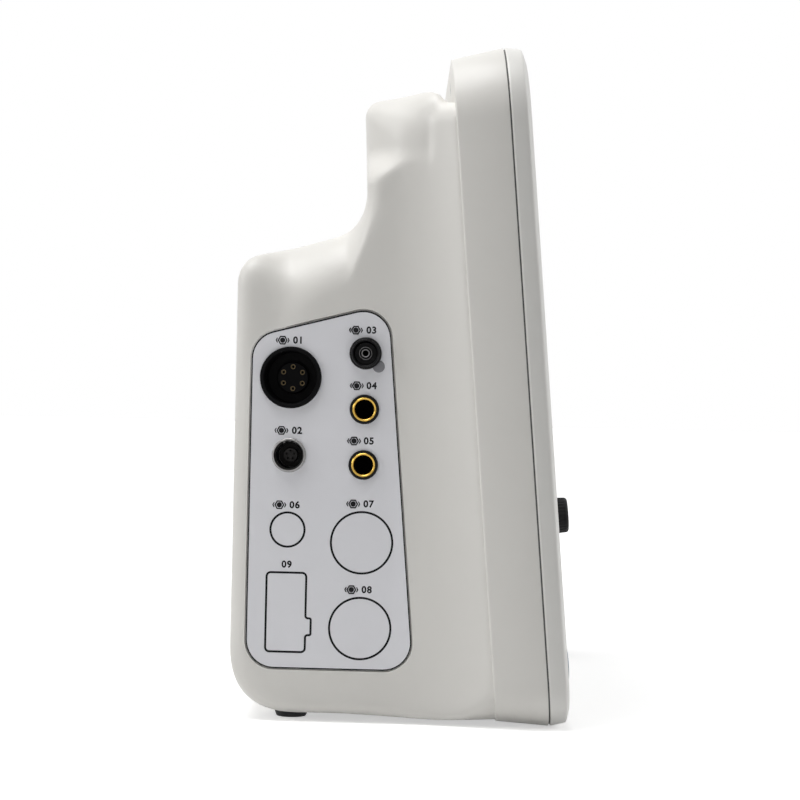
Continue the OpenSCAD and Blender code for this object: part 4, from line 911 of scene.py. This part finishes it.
# --- keys ---
def arc(cx, cy, r0, r1, a0, a1, n=24):
    """A band between two radii and two angles."""
    turns = [a0 + (a1 - a0) * i / n for i in range(n + 1)]
    return [polar(r1, a, (cx, cy)) for a in turns] + [polar(r0, a, (cx, cy)) for a in turns[::-1]]


def rect(cx, cy, w, h):
    x, y = w / 2, h / 2
    return [(cx - x, cy - y), (cx + x, cy - y), (cx + x, cy + y), (cx - x, cy + y)]


BELL_SIDE = [(2.3, -1.5), (1.7, -0.8), (1.5, 0.6), (0.95, 1.6), (0.3, 2.0)]
BELL = [(-2.3, -1.5), *BELL_SIDE] + [(-x, y) for x, y in BELL_SIDE[:0:-1]]
ICONS = [
    [rect(0, 1.7, 5.0, 0.7), rect(0, 0, 5.0, 0.7), rect(0, -1.7, 5.0, 0.7)],
    [arc(0, 0, 1.9, 2.5, 0, 359.9, 40), disc(0, 0, 0.9, 24)],
    [rect(-1.1, 0, 1.1, 4.4), rect(1.1, 0, 1.1, 4.4)],
    [[(-1.7, -2.3), (2.3, 0), (-1.7, 2.3)]],
    [BELL, disc(0, -2.1, 0.55, 16)],
    [[(-2.6, -0.1), (-2.0, -0.5), (0, 1.6), (2.0, -0.5), (2.6, -0.1), (0, 2.6)],
     [(-1.7, -2.3), (1.7, -2.3), (1.7, -0.6), (0, 1.1), (-1.7, -0.6)]],
]
for i, u in enumerate(KEYS_U):
    name = "key_%d" % (i + 1)
    m = front_frame(CONTROL_X, u)
    cap = pad(name + "_cap", (24, 12), 3.5, 5.7, 9.35, m, bevel=0.9, crown=0.22)
    lip = pad("lip", (26.6, 14.6), 4.8, 4.75, 5.85, m, bevel=0.2)
    stem = lathe("stem", [(0.3, -1.95), (2.0, -1.95), (2.2, -1.75), (2.2, 4.8), (0.3, 4.8)], m, 32)
    cap = join(name + "_cap", [cap, lip, stem])
    shade(cap)
    piece(cap, "key", name, "key", name)
    marks = [prism("icon", shape, 9.2, 9.62, m) for shape in ICONS[i]]
    piece(join(name + "_icon", marks), "key_ink", name, "key")

cap = lathe("power_cap", [(0.3, -1.9), (2.2, -1.9), (2.2, 4.75), (7.8, 4.75), (7.8, 5.75), (6.5, 5.85),
                          (6.5, 8.8), (6.35, 9.2), (5.95, 9.5), (5.2, 9.6), (4.2, 9.5), (3.0, 9.38),
                          (1.5, 9.3), (0.3, 9.28)], POWER, 80)
piece(cap, "key", "power_key", "key", "power_key")
marks = [prism("icon", arc(0, -0.15, 1.75, 2.35, 125, 415, 40), 9.15, 9.52, POWER),
         prism("icon", rounded_rect(-0.32, 0.32, 0.2, 2.7, 0.3, 4), 9.15, 9.52, POWER)]
piece(join("power_icon", marks), "key_ink", "power_key", "key")

domes = [lathe("dome", [(0.2, 4.0), (1.6, 4.0), (1.6, 8.45), (1.5, 8.65), (1.2, 8.75), (0.6, 8.8),
                        (0.2, 8.8)], front_frame(x, POWER_U), 24) for x in LIGHTS_X]
piece(join("indicator_domes", domes), "lens", "monitor", "lens", "indicator_lenses")
lens = join("lamp_lens", [pad("lens", (30, 7), 1.8, 4.5, 8.95, LAMP, bevel=0.8, crown=0.15),
                          pad("lip", (32, 9), 2.0, 4.5, 5.85, LAMP, bevel=0.2)])
shade(lens)
piece(lens, "lamp", "monitor", "lamp", "alarm_lamp")

# --- knob ---
KNOB_FOOT, KNOB_R = 9.9, 9.6
FLUTES, FLUTE_DEPTH, FLUTE_LOW, FLUTE_HIGH = 30, 0.3, 11.5, KNOB_FRONT - 1.2


def flutes(r, z, turn):
    """The knob's radius at a height and a share of a turn, from its radius without flutes."""
    if r < 8.4 or z < FLUTE_LOW or z > FLUTE_HIGH:
        return r
    ease = min((z - FLUTE_LOW) / 1.2, FLUTE_HIGH - z, 1)
    return r - FLUTE_DEPTH * ease * (0.5 + 0.5 * math.cos(2 * math.pi * FLUTES * turn)) ** 1.5


def knob_side(z):
    return KNOB_R - (z - KNOB_FOOT) / (KNOB_FRONT - KNOB_FOOT)


profile = [(0.3, 12.1), (5.1, 12.1), (5.3, 11.9), (5.3, 9.95), (5.45, KNOB_FOOT), (9.3, KNOB_FOOT),
           (9.52, 10.0), (KNOB_R, 10.25)]
profile += [(knob_side(z), z) for z in np.linspace(10.8, KNOB_FRONT - 1.8, 26)]
profile += [(r, KNOB_FRONT - z) for r, z in (
    (8.68, 1.4), (8.5, 0.85), (8.15, 0.35), (7.65, 0.07), (7.1, 0), (6.6, 0.02), (6.3, 0.2), (5.8, 0.38),
    (4.0, 0.5), (2.0, 0.55), (0.3, 0.56))]
knob = lathe("knob_cap", profile, KNOB, 240, wobble=flutes, sharp=50)
piece(knob, "knob", "knob_turn", "knob", "knob")
dot = lathe("knob_mark", [(0.1, -0.32), (0.55, -0.33), (0.75, -0.42), (0.75, -0.7), (0.1, -0.7)],
            KNOB @ Matrix.Translation((0, 5.0, KNOB_FRONT)), 24)
piece(dot, "grey_insert", "knob_turn", "knob")

# --- rear panel ---
HINGE = frame_matrix(body_point(DOOR_X, HINGE_D, HINGE_Z), (0, 1, 0), (0, 0, 1))
leaf = pad("battery_cover_leaf", (72, 75), 1.2, 0.0, 2.4, HINGE, bevel=0.45, centre=(0, 40.5), n=4)
cuts = [prism("cut", rounded_rect(-10, 10, 72, 90, 3.0, 8), 1.3, 5, HINGE)]
for k in range(6):
    cuts.append(prism("cut", rounded_rect(-14, 14, 52 + 2.6 * k, 53.2 + 2.6 * k, 0.55, 5), 1.8, 5, HINGE))
combine(leaf, join("cuts", cuts))
knuckles = []
for s in (-1, 1):
    along = HINGE @ Matrix.Translation((s * 24, 0, 0)) @ Matrix.Rotation(math.radians(90), 4, "Y")
    knuckles.append(lathe("knuckle", [(1.25, -6), (2.2, -6), (2.4, -5.8), (2.4, 5.8), (2.2, 6), (1.25, 6)],
                          along, 40, ring=True))
    knuckles.append(box("web", s * 24 - 6, s * 24 + 6, 1.3, 3.4, 0.02, 2.38, HINGE))
leaf = join("battery_cover_leaf", [leaf] + knuckles)
shade(leaf)
piece(leaf, "housing", "battery_cover", "housing", "battery_door")

body = pad("inlet_body", (27.8, 46.8), 0.6, -24, -0.2, inlet, bevel=0.1)
combine(body, pad("rim", (31.8, 50.8), 2.0, -1.45, -0.05, inlet, bevel=0.5), "UNION")
socket = [(-11.8, 0.3), (11.8, 0.3), (11.8, 13.6), (8.6, 16.7), (-8.6, 16.7), (-11.8, 13.6)]
middle = 8.5
combine(body, loft("cut", [[(x * g, middle + (y - middle) * g, z) for x, y in socket]
                           for g, z in ((1, -18), (1, -0.7), (1.03, 0.1), (1.03, 3))], inlet))
combine(body, prism("cut", rounded_rect(-11.2, 11.2, -21.2, -6.8, 0.4, 3), -20.5, 3, inlet))
piece(body, "black_matte", "monitor", "inlet_plastic", "power_inlet")
blades = [pad("blade", (2, 4), 0.4, -18, -5, inlet, bevel=0.6, centre=(x, y), n=3)
          for x, y in ((-7, 7.0), (0, 10.3), (7, 7.0))]
piece(join("inlet_blades", blades), "nickel", "monitor", "module_metal", "inlet_pins")
drawer = pad("fuse_tray", (22, 14), 0.8, -20, -0.2, inlet, bevel=0.5, centre=(0, -14), n=4)
combine(drawer, prism("cut", rounded_rect(-5, 5, -12.5, -9.0, 1.2, 6), -1.8, 2, inlet))
combine(drawer, join("cuts", [box("cut", x, x + 8.9, -22, -8.5, -19, -2, inlet) for x in (-9.6, 0.7)]))
marks = [closed_line("fuse_mark", rect(0, -16.9, 7.0, 2.2), 0.35, -0.3, -0.12, inlet),
         prism("fuse_mark", rect(0, -16.9, 10.5, 0.35), -0.3, -0.12, inlet)]
piece(drawer, "black_matte", "fuse_holder", "inlet_plastic", "fuse_drawer")
piece(join("fuse_symbol", marks), "grey_button", "fuse_holder", "inlet_plastic")

m = rear_frame(STUD_X, STUD_Z)
well = lathe("stud_well", [(0.3, -13), (7.2, -13), (7.4, -12.8), (7.4, -1.0), (7.2, -0.8), (6.7, -0.9),
                           (6.5, -1.2), (6.5, -11.5), (0.3, -11.5)], m, 64)
nut = prism("nut", disc(0, 0, 5.2, 6), -11.6, -8.4, m)
washer = lathe("washer", [(3.1, -8.4), (5.6, -8.4), (5.7, -8.3), (5.7, -7.7), (5.6, -7.6), (3.1, -7.6)],
               m, 48, ring=True)
threads = [(r, -7.6 + 0.5 * k) for k, r in enumerate([3.0, 2.72] * 7)]
post = lathe("post", [(0.3, -12), *threads, (2.6, -0.7), (2.3, -0.5), (0.3, -0.5)], m, 48)
stud = join("earth_post", [well, nut, washer, post])
shade(stud)
piece(stud, "brass", "monitor", "brass", "ground_stud")

m = rear_frame(NETWORK_X, NETWORK_Z)
jack = pad("network_shell", (15.8, 13.8), 0.5, -21, -0.4, m, bevel=0.3, n=3)
combine(jack, box("cut", -5.9, 5.9, -4.8, 3.2, -13, 1, m))
combine(jack, box("cut", -3, 3, 3.0, 5.6, -13, 1, m))
for s in (-1, 1):
    combine(jack, prism("cut", rounded_rect(s * 5.4 - 1.2, s * 5.4 + 1.2, 4.2, 6.0, 0.3, 3), -1.0, 1, m))
piece(jack, "nickel", "monitor", "port_metal", "network_jack")
bend = ((-4.3, -3.0), (-3.6, -3.6), (-0.4, -12.0), (0.0, -12.9))
wires = [loft("wire", [[(px, py, z) for px, py in rect(-3.57 + 1.02 * k, y, 0.44, 0.4)] for y, z in bend], m)
         for k in range(8)]
piece(join("network_contacts", wires), "contact", "monitor", "port_metal")
leds = [pad("led", (2.3, 1.7), 0.3, -1.1, -0.55, m, bevel=0.2, centre=(s * 5.4, 5.1), n=3) for s in (-1, 1)]
piece(join("network_lights", leds), "lens", "monitor", "lens")

feet = [lathe("foot", [(0.3, 0.35), (3.6, 0.35), (4.0, 0.0), (5.2, 0.0), (5.7, 0.12), (6.0, 0.5), (6.85, 2.8),
                       (6.9, 3.2), (6.9, 4.1), (0.3, 4.1)], m, 56) for m in feet_frames]
piece(join("rear_feet", feet), "rubber", "monitor", "foot_rubber", "feet_rear")

# --- stage ---
def backdrop_rays(nt):
    """One for camera, glossy and transmission rays, and zero for the rest."""
    path = nt.nodes.new("ShaderNodeLightPath")
    total = path.outputs["Is Camera Ray"]
    for other in ("Is Glossy Ray", "Is Transmission Ray"):
        total = math_node(nt, "ADD", total, path.outputs[other], clamp=True)
    return total


floor_mat = bpy.data.materials.new("floor")
floor_mat.use_nodes = True
shader = floor_mat.node_tree.nodes["Principled BSDF"]
shader.inputs["Base Color"].default_value = (0.86, 0.86, 0.86, 1)
shader.inputs["Roughness"].default_value = 0.9
shader.inputs["Emission Color"].default_value = (1, 1, 1, 1)
nt = floor_mat.node_tree
reach = nt.nodes.new("ShaderNodeVectorMath")
reach.operation = "LENGTH"
nt.links.new(nt.nodes.new("ShaderNodeTexCoord").outputs["Object"], reach.inputs[0])
fade = map_range(nt, reach.outputs["Value"], (0.3, 1.1), (0.5, 1.0), "SMOOTHSTEP")
nt.links.new(math_node(nt, "MULTIPLY", fade, backdrop_rays(nt)), shader.inputs["Emission Strength"])
bpy.ops.mesh.primitive_plane_add(size=24, location=(0, 0, 0))
floor = bpy.context.object
floor.name = "floor"
floor.data.materials.append(floor_mat)

world = bpy.data.worlds.new("studio")
bpy.context.scene.world = world
world.use_nodes = True
wt = world.node_tree
back = wt.nodes["Background"]
back.inputs["Color"].default_value = (1, 1, 1, 1)
wt.links.new(map_range(wt, backdrop_rays(wt), (0, 1), (0.1, 1.0)), back.inputs["Strength"])


def lamp(name, at, to, size, power):
    data = bpy.data.lights.new(name, "AREA")
    data.shape = "RECTANGLE"
    data.size, data.size_y = size
    data.energy = power
    ob = bpy.data.objects.new(name, data)
    bpy.context.scene.collection.objects.link(ob)
    ob.location = at
    ob.rotation_euler = (Vector(to) - Vector(at)).to_track_quat("-Z", "Y").to_euler()


lamp("top", (-0.25, 0.3, 1.25), (0, 0, 0.15), (0.8, 0.8), 12.0)
lamp("rear", (-0.5, 1.65, 0.7), (-0.1, 0, 0.12), (0.6, 0.6), 6.0)
lamp("front", (0.45, -1.55, 0.9), (0, 0, 0.12), (1.0, 0.8), 10.5)

# --- camera ---
CAMERA_X, CAMERA_D, CAMERA_Z = -1.1575, 61.1, 0.1268   # metres, millimetres of depth, metres
camera = bpy.data.cameras.new("camera")
camera.sensor_width = 36
camera.lens = 116.9
camera.clip_start = 0.01
view = bpy.data.objects.new("camera", camera)
bpy.context.scene.collection.objects.link(view)
roll = math.radians(1.25)
right = Vector((0, -math.cos(roll), math.sin(roll)))
up = Vector((0, math.sin(roll), math.cos(roll)))
pose = Matrix((right, up, Vector((-1, 0, 0)))).transposed().to_4x4()
pose.translation = Vector((CAMERA_X, (PART_Y + CAMERA_D) * MM, CAMERA_Z))
view.matrix_world = pose
bpy.context.scene.camera = view
bpy.context.scene.view_settings.view_transform = "Standard"
